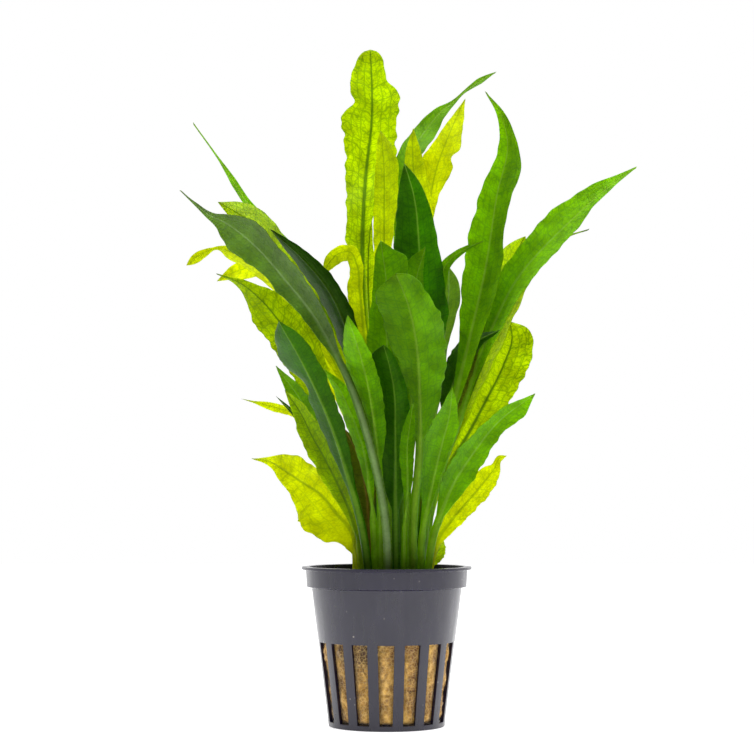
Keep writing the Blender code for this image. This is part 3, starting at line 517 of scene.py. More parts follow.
leaf("leaf_front_big", (8.8, -10), [(9, 68), (11, 91), (11, 111), (10, 126), (7, 140), (3, 150)],
     (-24, -54),
     [(0, 1.4, 1.4), (0.24, 2.7, 7), (0.41, 6.3, 9), (0.59, 9, 10), (0.7, 9.8, 9.2), (0.76, 9.8, 8.5),
      (0.81, 9.6, 7.4), (0.87, 9.6, 6.4), (0.93, 8, 4.8), (0.96, 4.6, 3.4), (1, 0, 0)], 0.455,
     stalk=1.4, fold=18, wave=0.5, look="fresh", tone=(0.6, 0.9))
leaf("leaf_right_short", (11.4, -7), [(12, 64), (15, 78), (18, 91), (21, 103), (22, 112)], (-18, -28),
     [(0, 1, 1), (0.15, 2, 1.2), (0.35, 5, 2), (0.55, 6.5, 3), (0.72, 5.4, 3.8), (0.85, 3.4, 2.4),
      (0.93, 1.8, 1.2), (1, 0, 0)], 0.28, roll=(20, 25), fold=-14, look="fresh", tone=1.0)
leaf("leaf_left_long", (0.5, -11), [(0, 64), (-5, 91), (-11, 110), (-16, 121), (-19.3, 127), (-26, 138),
     (-32.5, 146), (-46, 161), (-54, 167), (-60, 170), (-64.2, 173.4), (-69.5, 178)], (-20, -16),
     [(0, 1.2, 1.2), (0.04, 1.5, 1.6), (0.088, 2.2, 2.4), (0.25, 3.5, 4.3), (0.38, 4.4, 5.6),
      (0.5, 4.9, 5.7), (0.56, 5.6, 5.4), (0.63, 6.6, 6.3), (0.7, 6.2, 5.2), (0.76, 4.2, 2.9),
      (0.8, 2.4, 1.7), (0.845, 1.2, 1), (0.91, 0.5, 0.5), (1, 0, 0)], 0.49,
     stalk=1.5, roll=(-30, -42), fold=-22, look="grey", tone=(0.95, 0.65))
leaf("leaf_front_left", (-2, -8), [(-2, 68), (-3, 91), (-4, 100), (-6, 112), (-9, 124), (-13, 136)],
     (-22, -38),
     [(0, 1.2, 1.2), (0.15, 3.5, 3), (0.35, 5.5, 4), (0.55, 5.8, 4), (0.75, 5, 3), (0.88, 3, 1.8),
      (0.95, 1.4, 0.8), (1, 0, 0)], 0.45, roll=(-30, -34), fold=14, look="fresh", tone=1.0)
leaf("leaf_left_dark", (-5.5, -6.5), [(-8, 64), (-14, 86), (-20, 103), (-28, 120), (-36, 134)],
     (-20, -42),
     [(0, 1.4, 1.4), (0.15, 2.4, 2.6), (0.35, 3.6, 4), (0.43, 3.6, 4.3), (0.515, 3.4, 4.6),
      (0.575, 2.5, 4.8), (0.63, 3.2, 4.9), (0.7, 5.4, 5), (0.75, 6, 5), (0.82, 5.4, 4.6),
      (0.9, 3.8, 3.6), (1, 0, 0)], 0.34, stalk=1.4, roll=(-30, -36), fold=16, look="dark", tone=1.05)
leaf("leaf_front_small", (5.8, -7.5), [(6, 64), (7, 79), (7, 93), (9, 107)], (-16, -24), (2.6, 2.2),
     0.4, stalk=1.0, fold=10, look="fresh", tone=1.05)
leaf("leaf_front_dark", (3.2, -6), [(3, 74), (3, 98), (2.5, 111), (1, 119), (-1, 126)], (-14, -26),
     [(0, 1.2, 1.2), (0.2, 5, 3.5), (0.5, 7.4, 5), (0.75, 7.6, 4), (0.9, 6, 2.5), (0.97, 3.4, 1.2),
      (1, 0, 0)], 0.3, roll=(-14, -14), fold=12, look="dark", tone=(0.85, 1.1))
leaf("leaf_right_low", (13, -3), [(16, 64), (22, 79), (29, 90), (37, 100), (49.6, 109.7)], (-10, -18),
     [(0, 1.2, 1.5), (0.1, 2.5, 3), (0.19, 3.8, 4.2), (0.46, 4.6, 4.6), (0.58, 3.8, 3.8),
      (0.69, 3, 3.7), (0.77, 2.8, 3.9), (0.85, 2.2, 4.2), (0.92, 1.2, 2.3), (0.97, 0.5, 0.8),
      (1, 0, 0)], 0.3, roll=(30, 34), fold=-14, look="fresh", tone=1.0)
leaf("leaf_left_inner", (-3.5, -5), [(-5, 74), (-8, 93), (-12, 104), (-16, 112), (-21, 118)], (-12, -18),
     (3.2, 3.4), 0.35, roll=(-36, -40), fold=12, look="fresh", tone=1.15)
leaf("leaf_left_grey", (-7.8, -3), [(-9, 59), (-12, 70), (-16, 79), (-20, 87), (-25, 96), (-29, 104),
     (-34, 111)], (-8, -10), (4.2, 4.2), 0.22, roll=(-30, -38), fold=-12, look="lit", tone=1.0)
leaf("leaf_left_spike", (-6.8, 0), [(-12, 71), (-22, 89), (-29, 101), (-37, 109)], (-3, -6), (1.3, 1.3),
     0.3, stalk=0.9, fold=20, look="dark", tone=0.8)
leaf("leaf_left_short", (-6.5, 3), [(-12, 74), (-21, 94), (-29, 108), (-37, 119)], (0, -4), (3.4, 3.6),
     0.35, roll=(-30, -30), fold=-10, look="fresh", tone=0.95)
leaf("leaf_centre_green", (1.5, -3), [(1, 81), (1, 108), (0, 131), (0, 146), (-2, 161)], (-6, -14),
     [(0, 1.2, 1.2), (0.2, 4, 4), (0.45, 7, 7.5), (0.7, 5.5, 7.6), (0.85, 4, 7.6), (0.92, 3, 7.2),
      (0.945, 2.4, 4.6), (0.975, 1.3, 2.2), (1, 0, 0)], 0.32, fold=12, look="fresh", tone=1.0)
leaf("leaf_centre_round", (6.8, -2), [(7, 81), (8, 108), (9, 138), (10, 149), (13, 159)], (-3, -8),
     [(0, 1, 1), (0.3, 4, 4), (0.6, 6, 5), (0.8, 5.5, 3), (0.93, 3.5, 1.2), (1, 0, 0)], 0.36,
     roll=(16, 20), fold=10, look="fresh", tone=0.95)
leaf("leaf_centre_dark", (4.5, 0), [(6, 81), (11, 108), (12, 134), (11, 158), (9, 177), (6, 187)], (2, 0),
     [(0, 1.2, 1.2), (0.15, 3, 3), (0.26, 5, 5), (0.41, 7.3, 8.3), (0.56, 8.3, 7.7), (0.685, 8.3, 6.3),
      (0.8, 7, 5.3), (0.89, 5, 3.4), (0.95, 2.7, 2), (1, 0, 0)], 0.36, stalk=1.4,
     roll=(-8, -12), fold=12, wave=0.4, look="dark", tone=(1.1, 1.5))
leaf("leaf_right_hook", (8, 2), [(11, 81), (14, 108), (17, 141), (20, 153), (26, 158), (33, 161)], (5, 2),
     [(0, 1, 1), (0.4, 2, 2), (0.7, 2.2, 2.2), (0.85, 1.3, 1.3), (0.93, 0.7, 0.7), (1, 0, 0)], 0.4,
     stalk=1.0, fold=-20, look="fresh", tone=0.9)
leaf("leaf_right_tall", (10.4, -1.5), [(14, 74), (22, 104), (28, 129), (33, 151), (37, 176),
     (40.6, 195), (38.4, 203.5), (33, 211.5)], (3, 2),
     [(0, 1.2, 1.2), (0.16, 3, 3), (0.29, 5.4, 4.4), (0.385, 7, 5.4), (0.48, 7.3, 5), (0.58, 7, 4),
      (0.64, 5.7, 4.7), (0.715, 4.6, 5.8), (0.78, 3.6, 4.6), (0.833, 2.6, 2.9), (0.89, 1.7, 1.7),
      (0.94, 0.9, 0.9), (1, 0, 0)], 0.36, stalk=1.5, roll=(-34, -42), fold=-14,
     look="fresh", tone=(1.05, 0.86))
leaf("leaf_right_dark", (9.8, 1), [(13, 74), (20, 104), (24, 117), (29, 126), (38, 131)], (5, 5),
     [(0, 1.2, 1.2), (0.25, 4, 2), (0.5, 5, 2.2), (0.7, 4, 2.5), (0.82, 2, 1.5), (0.92, 0.8, 0.8),
      (1, 0, 0)], 0.6, roll=(-30, -30), fold=12, look="dark", tone=0.95)
leaf("leaf_left_brown", (-4.8, -1), [(-6, 66), (-7, 78), (-10, 90), (-14, 98)], (-3, -5), (3.3, 3.3),
     0.25, fold=10, look="brown", tone=1.0)
leaf("leaf_left_arch", (-2.5, 3), [(-3, 81), (-6, 108), (-12, 128), (-19, 144), (-29, 156), (-39, 165)],
     (-1, -6), (4.2, 3.8), 0.38, stalk=1.4, roll=(-42, -45), fold=14, look="dark", tone=0.55)
leaf("leaf_left_broad", (-5.8, 6), [(-9, 74), (-19, 98), (-28, 122), (-36, 134), (-42, 141), (-48, 146),
     (-57, 150)], (4, -2),
     [(0, 1.2, 1.2), (0.2, 4.5, 4), (0.39, 6.6, 7.4), (0.59, 7, 7.2), (0.73, 6, 4.8), (0.84, 2.2, 2.2),
      (0.92, 0.7, 0.7), (1, 0, 0)], 0.44, roll=(26, 34), fold=-12, look="lit", tone=0.85)
leaf("leaf_right_red", (9.1, 4), [(12, 74), (21, 104), (28, 124), (34, 140)], (8, 8), (3.2, 3.2), 0.4,
     roll=(-38, -40), fold=10, look="brown", tone=1.0)
leaf("leaf_right_long", (12, 3), [(15, 74), (25, 104), (35, 131), (45, 150), (51, 157), (60, 166),
     (72, 177), (84, 186)], (9, 12),
     [(0, 1, 1), (0.2, 4, 3), (0.43, 6, 4), (0.53, 6.2, 4.3), (0.62, 7, 3.8), (0.7, 6.6, 3.2),
      (0.79, 5, 1.8), (0.89, 2.6, 0.9), (0.96, 0.9, 0.4), (1, 0, 0)], 0.43, stalk=1.5,
     roll=(-38, -48), fold=-16, look="fresh", tone=1.0)
leaf("leaf_right_thin", (11.4, 5.5), [(15, 74), (26, 104), (36, 128), (44, 144), (53, 155), (60, 162),
     (68, 165)], (13, 18),
     [(0, 1, 1), (0.3, 2.5, 2.6), (0.5, 2.5, 3.2), (0.6, 2.3, 2.7), (0.66, 2.1, 2.1), (0.72, 1.8, 1.2),
      (0.78, 1.5, 0.9), (0.86, 0.5, 0.6), (0.93, 0.2, 0.2), (1, 0, 0)], 0.34,
     roll=(-45, -50), fold=-16, look="lit", tone=0.9)
leaf("leaf_right_round", (10, 8), [(14, 74), (23, 104), (32, 129), (38, 146), (42.5, 155), (46.5, 162.5)],
     (17, 24),
     [(0, 1.2, 1.2), (0.3, 3.4, 3), (0.6, 4.6, 4), (0.85, 4.6, 4), (0.95, 3.4, 3), (1, 0, 0)], 0.34,
     roll=(-30, -36), fold=10, look="lit", tone=0.95)
leaf("leaf_right_broad", (12.4, 7), [(14, 68), (19, 83), (26, 94), (33, 107), (39, 119), (42, 129),
     (41, 134)], (18, 30),
     [(0, 1.5, 1.5), (0.12, 3, 3), (0.26, 5.5, 4.5), (0.48, 8, 6.6), (0.66, 9, 7.4), (0.8, 8, 7.9),
      (0.88, 6, 7.2), (0.94, 4, 5.4), (1, 0, 0)], 0.37, stalk=1.4, roll=(-14, -16), fold=14, wave=0.4,
     look="lit", tone=0.92)
leaf("leaf_right_behind", (7.5, 5), [(10, 81), (18, 114), (20, 134), (21, 144), (21, 152)], (10, 13),
     [(0, 1, 1), (0.3, 2, 1.2), (0.5, 2.6, 1), (0.6, 3, 1.1), (0.68, 3.3, 2), (0.74, 3.5, 2.7),
      (0.79, 3.5, 3.3), (0.87, 3.5, 3.7), (0.95, 2.2, 2.6), (1, 0, 0)], 0.34, roll=(-36, -40), fold=10,
     look="grey", tone=1.1)
leaf("leaf_top_narrow", (2.5, 5), [(2, 81), (0, 114), (-1, 144), (-1, 168), (-1, 185), (-2, 198)],
     (10, 14),
     [(0, 1, 1), (0.32, 3, 2.5), (0.54, 3.3, 2.7), (0.66, 3.4, 4), (0.8, 3, 5), (0.9, 2.4, 4.4),
      (0.95, 1.6, 3), (1, 0, 0)], 0.446, roll=(34, 38), fold=12, look="young", tone=1.1)
leaf("leaf_top_yellow", (5.1, 7.5), [(6, 81), (9, 114), (11, 144), (11, 171), (9, 188), (9, 199)],
     (15, 20),
     [(0, 1, 1), (0.3, 2.6, 2.6), (0.6, 4, 4.4), (0.8, 3.4, 3.9), (0.9, 2.7, 2.7), (0.96, 1.2, 1.2),
      (1, 0, 0)], 0.45, roll=(-30, -36), fold=12, look="young", tone=1.05)
leaf("leaf_top_pale", (6.1, 10), [(7, 81), (11, 114), (13, 144), (14, 171), (17, 186), (22, 199),
     (26.5, 209)], (20, 34),
     [(0, 1, 1), (0.3, 2.6, 2.2), (0.45, 3, 2.2), (0.55, 3.4, 3.1), (0.62, 4.4, 4.7), (0.66, 5, 5.3),
      (0.7, 5.5, 4.2), (0.725, 4.9, 3.9), (0.755, 4, 5.2), (0.795, 3.6, 4.6), (0.83, 3, 4),
      (0.89, 1.8, 2.8), (0.95, 0.8, 1.2), (1, 0, 0)], 0.55, roll=(-30, -38), fold=-12,
     look="young", tone=0.93)
leaf("leaf_top_twisted", (3.8, 12.6), [(4, 81), (4, 114), (4.5, 144), (5, 171), (7.2, 189.2),
     (12.8, 197.7), (18.3, 204.6), (22.8, 208.1), (25.7, 210.9), (31, 214.7), (37, 218.1)], (24, 44),
     [(0, 1, 1), (0.25, 2.4, 2.4), (0.4, 3.3, 3), (0.525, 3.5, 3.6), (0.642, 3.4, 3.6), (0.695, 2.8, 3.1),
      (0.74, 2, 2.3), (0.775, 1.2, 1.5), (0.805, 0.7, 0.8), (0.85, 0.4, 0.45), (0.89, 0.7, 0.8),
      (0.93, 1, 1), (0.96, 0.7, 0.6), (1, 0, 0)], 0.51, roll=(-28, -32), fold=-10, look="fresh", tone=0.85)
leaf("leaf_drooping", (-0.2, 6.5), [(-3, 91), (-7, 124), (-9, 144), (-10, 153), (-12, 157), (-15, 157),
     (-18, 155), (-20, 152), (-21, 149)], (9, 6),
     [(0, 1, 1), (0.2, 3, 1), (0.42, 4.3, 1), (0.62, 2.6, 2), (0.72, 2.9, 2.4), (0.82, 3, 2.4),
      (0.92, 2, 1.6), (1, 0, 0)], 0.62, stalk=1.1, fold=-12, look="young", tone=1.05)
leaf("leaf_tallest", (0.5, 9.5), [(-1, 81), (-5, 114), (-8, 144), (-8, 165), (-7, 183), (-5, 202),
     (-5, 215), (-5.5, 225.6)], (18, 26),
     [(0, 2.5, 1.2), (0.06, 5.2, 1.7), (0.15, 5.5, 2.7), (0.27, 6, 5.4), (0.35, 6.3, 7.5),
      (0.43, 7.2, 9), (0.53, 8.4, 9.2), (0.6, 9.4, 8.6), (0.66, 10, 8.6), (0.7, 9, 8.8),
      (0.735, 6.6, 9), (0.77, 6.6, 9.1), (0.81, 7.2, 8.4), (0.845, 7.2, 5.6), (0.88, 6.8, 4.7),
      (0.92, 5.6, 4.4), (0.955, 4.4, 3.9), (0.98, 3.2, 2.9), (0.993, 2, 1.8), (1, 0, 0)], 0.61,
     stalk=1.5, roll=(6, 10), fold=12, wave=0.8, waves=3.5, look="lit", tone=(1.0, 1.08))
leaf("leaf_behind_tallest", (1.2, 12), [(0, 81), (-3, 114), (-6, 141), (-6, 158), (-5, 170)], (22, 28),
     (2.4, 2.4), 0.45, stalk=1.0, fold=10, look="lit", tone=0.95)
leaf("leaf_left_top", (-3.2, 7), [(-4, 81), (-9, 108), (-19, 134), (-32, 153), (-44, 166),
     (-56.6, 174)], (12, 14),
     [(0, 1.2, 1.2), (0.2, 3, 3), (0.45, 5, 4.2), (0.7, 5.2, 4.2), (0.76, 4.9, 4.6), (0.83, 4.4, 5.5),
      (0.92, 2.6, 4.2), (0.96, 1.3, 2.3), (1, 0, 0)], 0.4, roll=(36, 45), fold=12, look="lit", tone=0.9)
leaf("leaf_left_needle", (-2.2, 10), [(-3, 81), (-7, 108), (-16, 136), (-28, 154), (-38, 164.5),
     (-46.8, 174), (-52.3, 182.5), (-58.3, 191.5), (-65, 201)], (20, 34),
     [(0, 1, 1), (0.3, 1.5, 1.5), (0.55, 1.4, 1.4), (0.7, 1.2, 1.2), (0.76, 1, 1), (0.8, 0.7, 0.7),
      (0.85, 0.35, 0.35), (1, 0, 0)], 0.42, roll=(10, 50), fold=-14, look="fresh", tone=1.0)
leaf("leaf_left_curled", (-4.8, 9), [(-6, 81), (-12, 108), (-26, 134), (-39, 149), (-51, 156.5),
     (-57, 158.3), (-61.5, 156.6), (-67, 152.6)], (20, 38),
     [(0, 1, 1), (0.3, 2.5, 2.5), (0.55, 2.8, 2.6), (0.74, 2.6, 2.7), (0.8, 2.2, 2.4), (0.845, 0.6, 1),
      (0.87, 0.5, 0.6), (0.9, 1.4, 1.1), (0.94, 1.8, 1.6), (0.975, 1.1, 1.1), (1, 0, 0)], 0.42,
     stalk=1.1, roll=(20, 25), fold=-16, look="young", tone=0.95)
leaf("leaf_left_pale", (-5.8, 8.5), [(-7, 81), (-14, 104), (-25, 129.5), (-34, 145.5), (-40, 150.8),
     (-45.5, 151.8), (-50.5, 150.5), (-56.8, 147.3)], (22, 42),
     [(0, 1, 1), (0.3, 2.6, 2.8), (0.6, 1.6, 3), (0.7, 1.5, 3), (0.76, 2, 3.2), (0.8, 2.9, 3.2),
      (0.84, 3.6, 3.1), (0.91, 2.3, 2.5), (0.96, 1.1, 1.2), (1, 0, 0)], 0.42,
     stalk=1.1, roll=(24, 30), fold=-14, look="young", tone=1.0)
leaf("leaf_left_yellow_tip", (-8.4, 4), [(-12, 68), (-19, 86), (-25, 98), (-31.2, 103.2), (-37, 105),
     (-48.5, 108)], (12, 22),
     [(0, 1, 1), (0.3, 1.6, 1.6), (0.55, 1.4, 1.4), (0.65, 1.2, 1.2), (0.75, 1.5, 1.5),
      (0.84, 1.1, 1.1), (0.91, 0.45, 0.4), (1, 0, 0)], 0.35, stalk=1.0, fold=-14, look="young", tone=1.0)
leaf("leaf_low_left", (-9.8, 2), [(-12, 64), (-17, 70), (-22, 76), (-28, 80), (-34, 84), (-39, 87),
     (-45, 88)], (12, 22),
     [(0, 3.4, 1.2), (0.06, 5.5, 1.6), (0.112, 7.8, 2), (0.2, 9.8, 2.4), (0.278, 10.9, 2.9),
      (0.443, 11.1, 4.6), (0.52, 9.2, 5.8), (0.6, 5.9, 6.8), (0.66, 4.9, 6.9), (0.74, 3.6, 6.4),
      (0.82, 1.9, 4.7), (0.88, 1.3, 2), (0.94, 0.7, 0.8), (1, 0, 0)], 0.2, stalk=1.3,
     roll=(14, 18), fold=12, wave=0.4, look="young", tone=0.92)
leaf("leaf_low_right", (13.4, 4), [(17, 61), (22, 68), (28, 75), (33, 81), (36, 85), (37.5, 88),
     (40, 89)], (14, 22),
     [(0, 1.5, 1.5), (0.2, 3, 3), (0.45, 4.5, 3.8), (0.65, 4.4, 3.9), (0.8, 3, 2.6), (0.88, 1.2, 1.2),
      (0.94, 1, 1), (1, 0, 0)], 0.26, roll=(-22, -26), fold=-12, look="young", tone=0.94)
leaf("leaf_low_lobe", (12.8, 8.4), [(14.6, 53), (16.6, 57), (18.4, 62)], (13, 20), (2.4, 2.8), 0.3,
     stalk=0.9, fold=10, look="lit", tone=1.0)


def smoothCurve(at, points, want):
    # a smooth curve through the points, which stand at these places along it
    slope = np.gradient(points, at, axis=0)
    left = np.clip(np.searchsorted(at, want, side="right") - 1, 0, len(at) - 2)
    span = (at[left + 1] - at[left])[:, None]
    t = (want[:, None] - at[left][:, None]) / span
    return ((2 * t**3 - 3 * t**2 + 1) * points[left] + (t**3 - 2 * t**2 + t) * span * slope[left]
            + (3 * t**2 - 2 * t**3) * points[left + 1] + (t**3 - t**2) * span * slope[left + 1])


def spine(item, shares):
    # across, up and depth of the midrib at shares of the drawn length
    points = np.array([(item["root"][0], leafForm["foot"])] + item["path"], dtype=float)
    at = np.concatenate(([0.0], np.cumsum(np.linalg.norm(np.diff(points, axis=0), axis=1))))
    drawn = smoothCurve(at, points, shares * at[-1])
    start, middle, tip = item["root"][1], item["depth"][0], item["depth"][1]
    s = shares
    depth = start * (1 - s) * (1 - 2 * s) + middle * 4 * s * (1 - s) + tip * s * (2 * s - 1)
    return np.column_stack((drawn, depth))


def halfWidths(item, along, smooth=True):
    blade = item["blade"]
    if len(blade) == 2:
        blade = [(s, w * blade[0], w * blade[1]) for s, w in lance]
    rows = np.array(blade, dtype=float)
    if smooth:
        return np.clip(smoothCurve(rows[:, 0], rows[:, 1:], along), 0.02, None).T
    return np.array([np.interp(along, rows[:, 0], rows[:, k]) for k in (1, 2)])


def smoothStep(t):
    t = np.clip(t, 0, 1)
    return t * t * (3 - 2 * t)


def leafAxes(item, shares):
    # the midrib's points, the directions to the right edge and to the eye, and the turns there
    near = leafForm["near"]
    centre = spine(item, shares)
    tangent = spine(item, np.clip(shares + near, 0, 1)) - spine(item, np.clip(shares - near, 0, 1))
    tangent /= np.linalg.norm(tangent, axis=1)[:, None]
    bladeShare = np.clip((shares - item["foot"]) / (1 - item["foot"]), 0, 1)
    begin = leafForm["flattenFrom"] * item["foot"]
    spread = smoothStep((shares - begin) / (leafForm["flattenOver"] * (1 - item["foot"])))
    flat = np.column_stack((tangent[:, 1], -tangent[:, 0], np.zeros(len(shares))))
    flat /= np.linalg.norm(flat, axis=1)[:, None]
    toward = np.cross(tangent, flat)
    roll = np.radians(item["roll"][0] + (item["roll"][1] - item["roll"][0]) * bladeShare) * spread
    fold = np.radians(item["fold"]) * spread
    side = np.cos(roll)[:, None] * flat - np.sin(roll)[:, None] * toward
    face = np.cos(roll)[:, None] * toward + np.sin(roll)[:, None] * flat
    return centre, side, face, roll, fold, spread, bladeShare


def depthMoves(item):
    # How far each ring of the solid was moved in depth to stand clear of its neighbours, read from
    # the node: its points are looked for where the drawing has them.
    foot, least = item["foot"], leafForm["leastTurned"]
    shares = np.array([foot * s for s in leafForm["stalkRings"]]
                      + [foot + (1 - foot) * s for s in leafForm["bladeRings"]] + [1.0])
    centre, side, face, roll, fold, spread, bladeShare = leafAxes(item, shares)
    left, right = halfWidths(item, bladeShare, smooth=False)
    left = np.where(bladeShare > 0, left, item["stalk"])
    right = np.where(bladeShare > 0, right, item["stalk"])
    ripple = item["wave"] * spread * np.sin(2 * pi * item["waves"] * bladeShare)
    cosF, sinF = np.cos(fold)[:, None], np.sin(fold)[:, None]
    toRight = (cosF * side - sinF * face) / np.maximum(np.cos(roll + fold), least)[:, None]
    toLeft = (-cosF * side - sinF * face) / np.maximum(np.cos(roll - fold), least)[:, None]
    edges = (centre + toRight * right[:, None] + face * ripple[:, None],
             centre + toLeft * left[:, None] - face * ripple[:, None])
    solid = np.array([v.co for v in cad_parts[item["name"]].data.vertices]) / mm
    reach = 1 + solid[:, 1] / camera["distance"]
    across = camera["across"] + (solid[:, 0] - camera["across"]) / reach
    up = camera["height"] + (solid[:, 2] - camera["height"]) / reach
    moves = []
    for k in range(len(shares)):
        found = []
        for edge in edges:
            nearest = np.argmin((across - edge[k, 0]) ** 2 + (up - edge[k, 1]) ** 2)
            found.append(solid[nearest, 1] - edge[k, 2])
        moves.append(np.mean(found))
    return shares, np.array(moves)


def toReal(points):
    # from the drawing and the depth to metres, along the line of sight
    reach = 1 + points[..., 2] / camera["distance"]
    return np.stack((camera["across"] + (points[..., 0] - camera["across"]) * reach, points[..., 2],
                     camera["height"] + (points[..., 1] - camera["height"]) * reach), axis=-1) * mm


def makeLeaf(number, item, material):
    rnd = np.random.default_rng(100 + number)
    foot, least = item["foot"], leafForm["leastTurned"]
    fine = 1 - (1 - np.linspace(0, 1, leafForm["bladeSteps"], endpoint=False)) ** 1.1
    shares = np.concatenate((np.linspace(0, foot, leafForm["stalkSteps"], endpoint=False),
                             foot + (1 - foot) * fine))
    centre, side, face, roll, fold, spread, bladeShare = leafAxes(item, shares)
    ringAt, moves = depthMoves(item)
    centre[:, 2] += smoothCurve(ringAt, moves[:, None], shares)[:, 0]
    left, right = halfWidths(item, bladeShare)
    rows = halfWidths(item, np.zeros(1))
    swell = smoothStep((shares - leafForm["flattenFrom"] * foot) / (0.25 * foot))
    left = np.where(bladeShare > 0, left, item["stalk"] + (rows[0, 0] - item["stalk"]) * swell)
    right = np.where(bladeShare > 0, right, item["stalk"] + (rows[1, 0] - item["stalk"]) * swell)
    for width in (left, right):
        beat = sum(sin(p) * np.sin(2 * pi * n * bladeShare + q) for n, p, q in
                   zip((4, 7, 11, 17), rnd.uniform(0.3, 1.6, 4), rnd.uniform(0, 2 * pi, 4)))
        width *= 1 + leafForm["uneven"] * beat * np.sin(pi * bladeShare) ** 0.5 * spread
    length = np.linalg.norm(np.diff(centre, axis=0), axis=1).sum()
    ribSide = 1 if item["fold"] > 0 else -1
    slim = 1 - 0.62 * bladeShare
    ribHalf = (0.5 * item["stalk"] * (1 - spread) + 0.42 * item["stalk"] * spread) * (1 - 0.78 * bladeShare)
    ribHalf = np.maximum(ribHalf, 0.12)

    places = np.array(leafForm["places"])
    c = np.concatenate((-places[::-1], places[1:]))
    roundC = np.sin(np.linspace(-1, 1, len(c)) * pi / 2)
    cosF, sinF = np.cos(fold)[:, None], np.sin(fold)[:, None]
    rightTurn = np.maximum(np.cos(roll + fold), least)[:, None]
    leftTurn = np.maximum(np.cos(roll - fold), least)[:, None]
    width = np.where(c[None] > 0, right[:, None] / rightTurn, left[:, None] / leftTurn)
    soft = (np.sqrt(c**2 + 0.004) - 0.0632) / (np.sqrt(1.004) - 0.0632)
    sideways = cosF * width * c[None]
    back = -sinF * width * soft[None]
    away = spread[:, None] * np.abs(c)[None]
    phase = rnd.uniform(0, 2 * pi, 8)
    ripple = item["wave"] * np.sin(2 * pi * item["waves"] * bladeShare)[:, None] * np.sign(c)[None]
    ripple = ripple * away**1.6
    frill = np.where(c[None] > 0, np.sin(2 * pi * 6.5 * bladeShare + phase[0])[:, None],
                     np.sin(2 * pi * 5.5 * bladeShare + phase[1])[:, None])
    frill = leafForm["frill"] * frill * away**2.4 * np.minimum(width / 4, 1)
    mmAlong = shares[:, None] * length
    cockle = (np.sin(mmAlong / 5.1 + 2.2 * c[None] + phase[2]) + np.sin(mmAlong / 3.3 - 3.1 * c[None] + phase[3])
              + np.sin(mmAlong / 9.0 + 1.3 * c[None] + phase[4])) / 3
    cockle = leafForm["cockle"] * cockle * away * np.minimum(width / 5, 1)
    plump = leafForm["plump"] * 4 * np.abs(c) * (1 - np.abs(c))
    bladeMid = back + ripple + frill + cockle + ribSide * plump[None] * np.minimum(width / 6, 1)
    half = leafForm["margin"] + (leafForm["middle"] - leafForm["margin"]) * (1 - np.abs(c) ** 3)
    rib = leafForm["ribHeight"] * slim[:, None] * np.exp(-(c[None] * width / ribHalf[:, None]) ** 2)
    ridge = sum(np.exp(-((np.abs(c) - at) / 0.03) ** 2) for at in (0.36, 0.68)) * leafForm["ridge"]
    taper = np.where(np.abs(c) == 1, 0.0, 1.0)[None]
    outer = (half[None] + rib + ridge[None]) * taper
    inner = (half[None] - leafForm["groove"] * rib - 0.5 * ridge[None]) * taper
    arch = np.sqrt(np.clip(1 - roundC**2, 0, None)) * item["stalk"]
    keep = (1 - spread)[:, None]
    place = keep * roundC[None] * width + spread[:, None] * sideways

    def surface(lift, sign):
        height = spread[:, None] * (bladeMid + sign * ribSide * lift) + keep * sign * ribSide * arch[None]
        return centre[:, None] + side[:, None] * place[..., None] + face[:, None] * height[..., None]

    ring = np.concatenate((surface(outer, 1), surface(inner, -1)[:, -2:0:-1]), axis=1)
    count, around = ring.shape[:2]
    points = toReal(ring)
    points[0, :, 2] = leafForm["sunk"] * mm
    tip = toReal(spine(item, np.ones(1)) + np.array([[0, 0, moves[-1]]]))
    points = np.concatenate((points.reshape(-1, 3), tip))
    first = np.arange(count - 1)[:, None] * around + np.arange(around)[None]
    after = np.arange(count - 1)[:, None] * around + (np.arange(around)[None] + 1) % around
    faces = np.stack((first, after, after + around, first + around), axis=-1).reshape(-1, 4).tolist()
    last = (count - 1) * around
    faces += [(last + i, last + (i + 1) % around, len(points) - 1) for i in range(around)]
    faces.append(tuple(range(around))[::-1])
    a, b, d = (points[[f[k] for f in faces[:-1]]] for k in (0, 1, 2))
    if np.einsum("ij,ij->i", a, np.cross(b, d)).sum() < 0:
        faces = [f[::-1] for f in faces]
    name = "".join(w if k == 0 else w.capitalize() for k, w in enumerate(item["name"].split("_")))
    piece = newPiece(name, points.tolist(), faces, material, [item["name"]])

    order = list(range(len(c))) + list(range(len(c) - 2, 0, -1))
    acrossMm = (keep * roundC[None] * width + spread[:, None] * c[None] * width)[:, order]
    share = np.broadcast_to(bladeShare[:, None], acrossMm.shape)
    # painted light and shade: the tone of the left and of the right half, blended across the midrib
    leftPaintedLight, rightPaintedLight = item["tone"] if isinstance(item["tone"], tuple) else (item["tone"],) * 2
    paintedLightAcross = (leftPaintedLight + (rightPaintedLight - leftPaintedLight) * smoothStep(2.5 * c[order] + 0.5))[None] + 0 * acrossMm
    values = {
        "leafPlace": (np.broadcast_to(c[order][None], acrossMm.shape), mmAlong + 40.0 * number + 0 * acrossMm, acrossMm),
        "leafForm": (ribHalf[:, None] + 0 * acrossMm, spread[:, None] + 0 * acrossMm, share),
        "leafTone": (paintedLightAcross, item["tip"] + 0 * acrossMm, shares[:, None] + 0 * acrossMm),
        "leafSpot": (item["spot"][0] + 0 * acrossMm, item["spot"][1] * length + 40.0 * number + 0 * acrossMm,
                     item["spot"][2] + 0 * acrossMm),
    }
    for key, parts in values.items():
        data = np.stack(parts, axis=-1).reshape(-1, 3)
        data = np.concatenate((data, data[-1:]))
        piece.data.attributes.new(key, "FLOAT_VECTOR", "POINT").data.foreach_set("vector", data.ravel())
    return piece
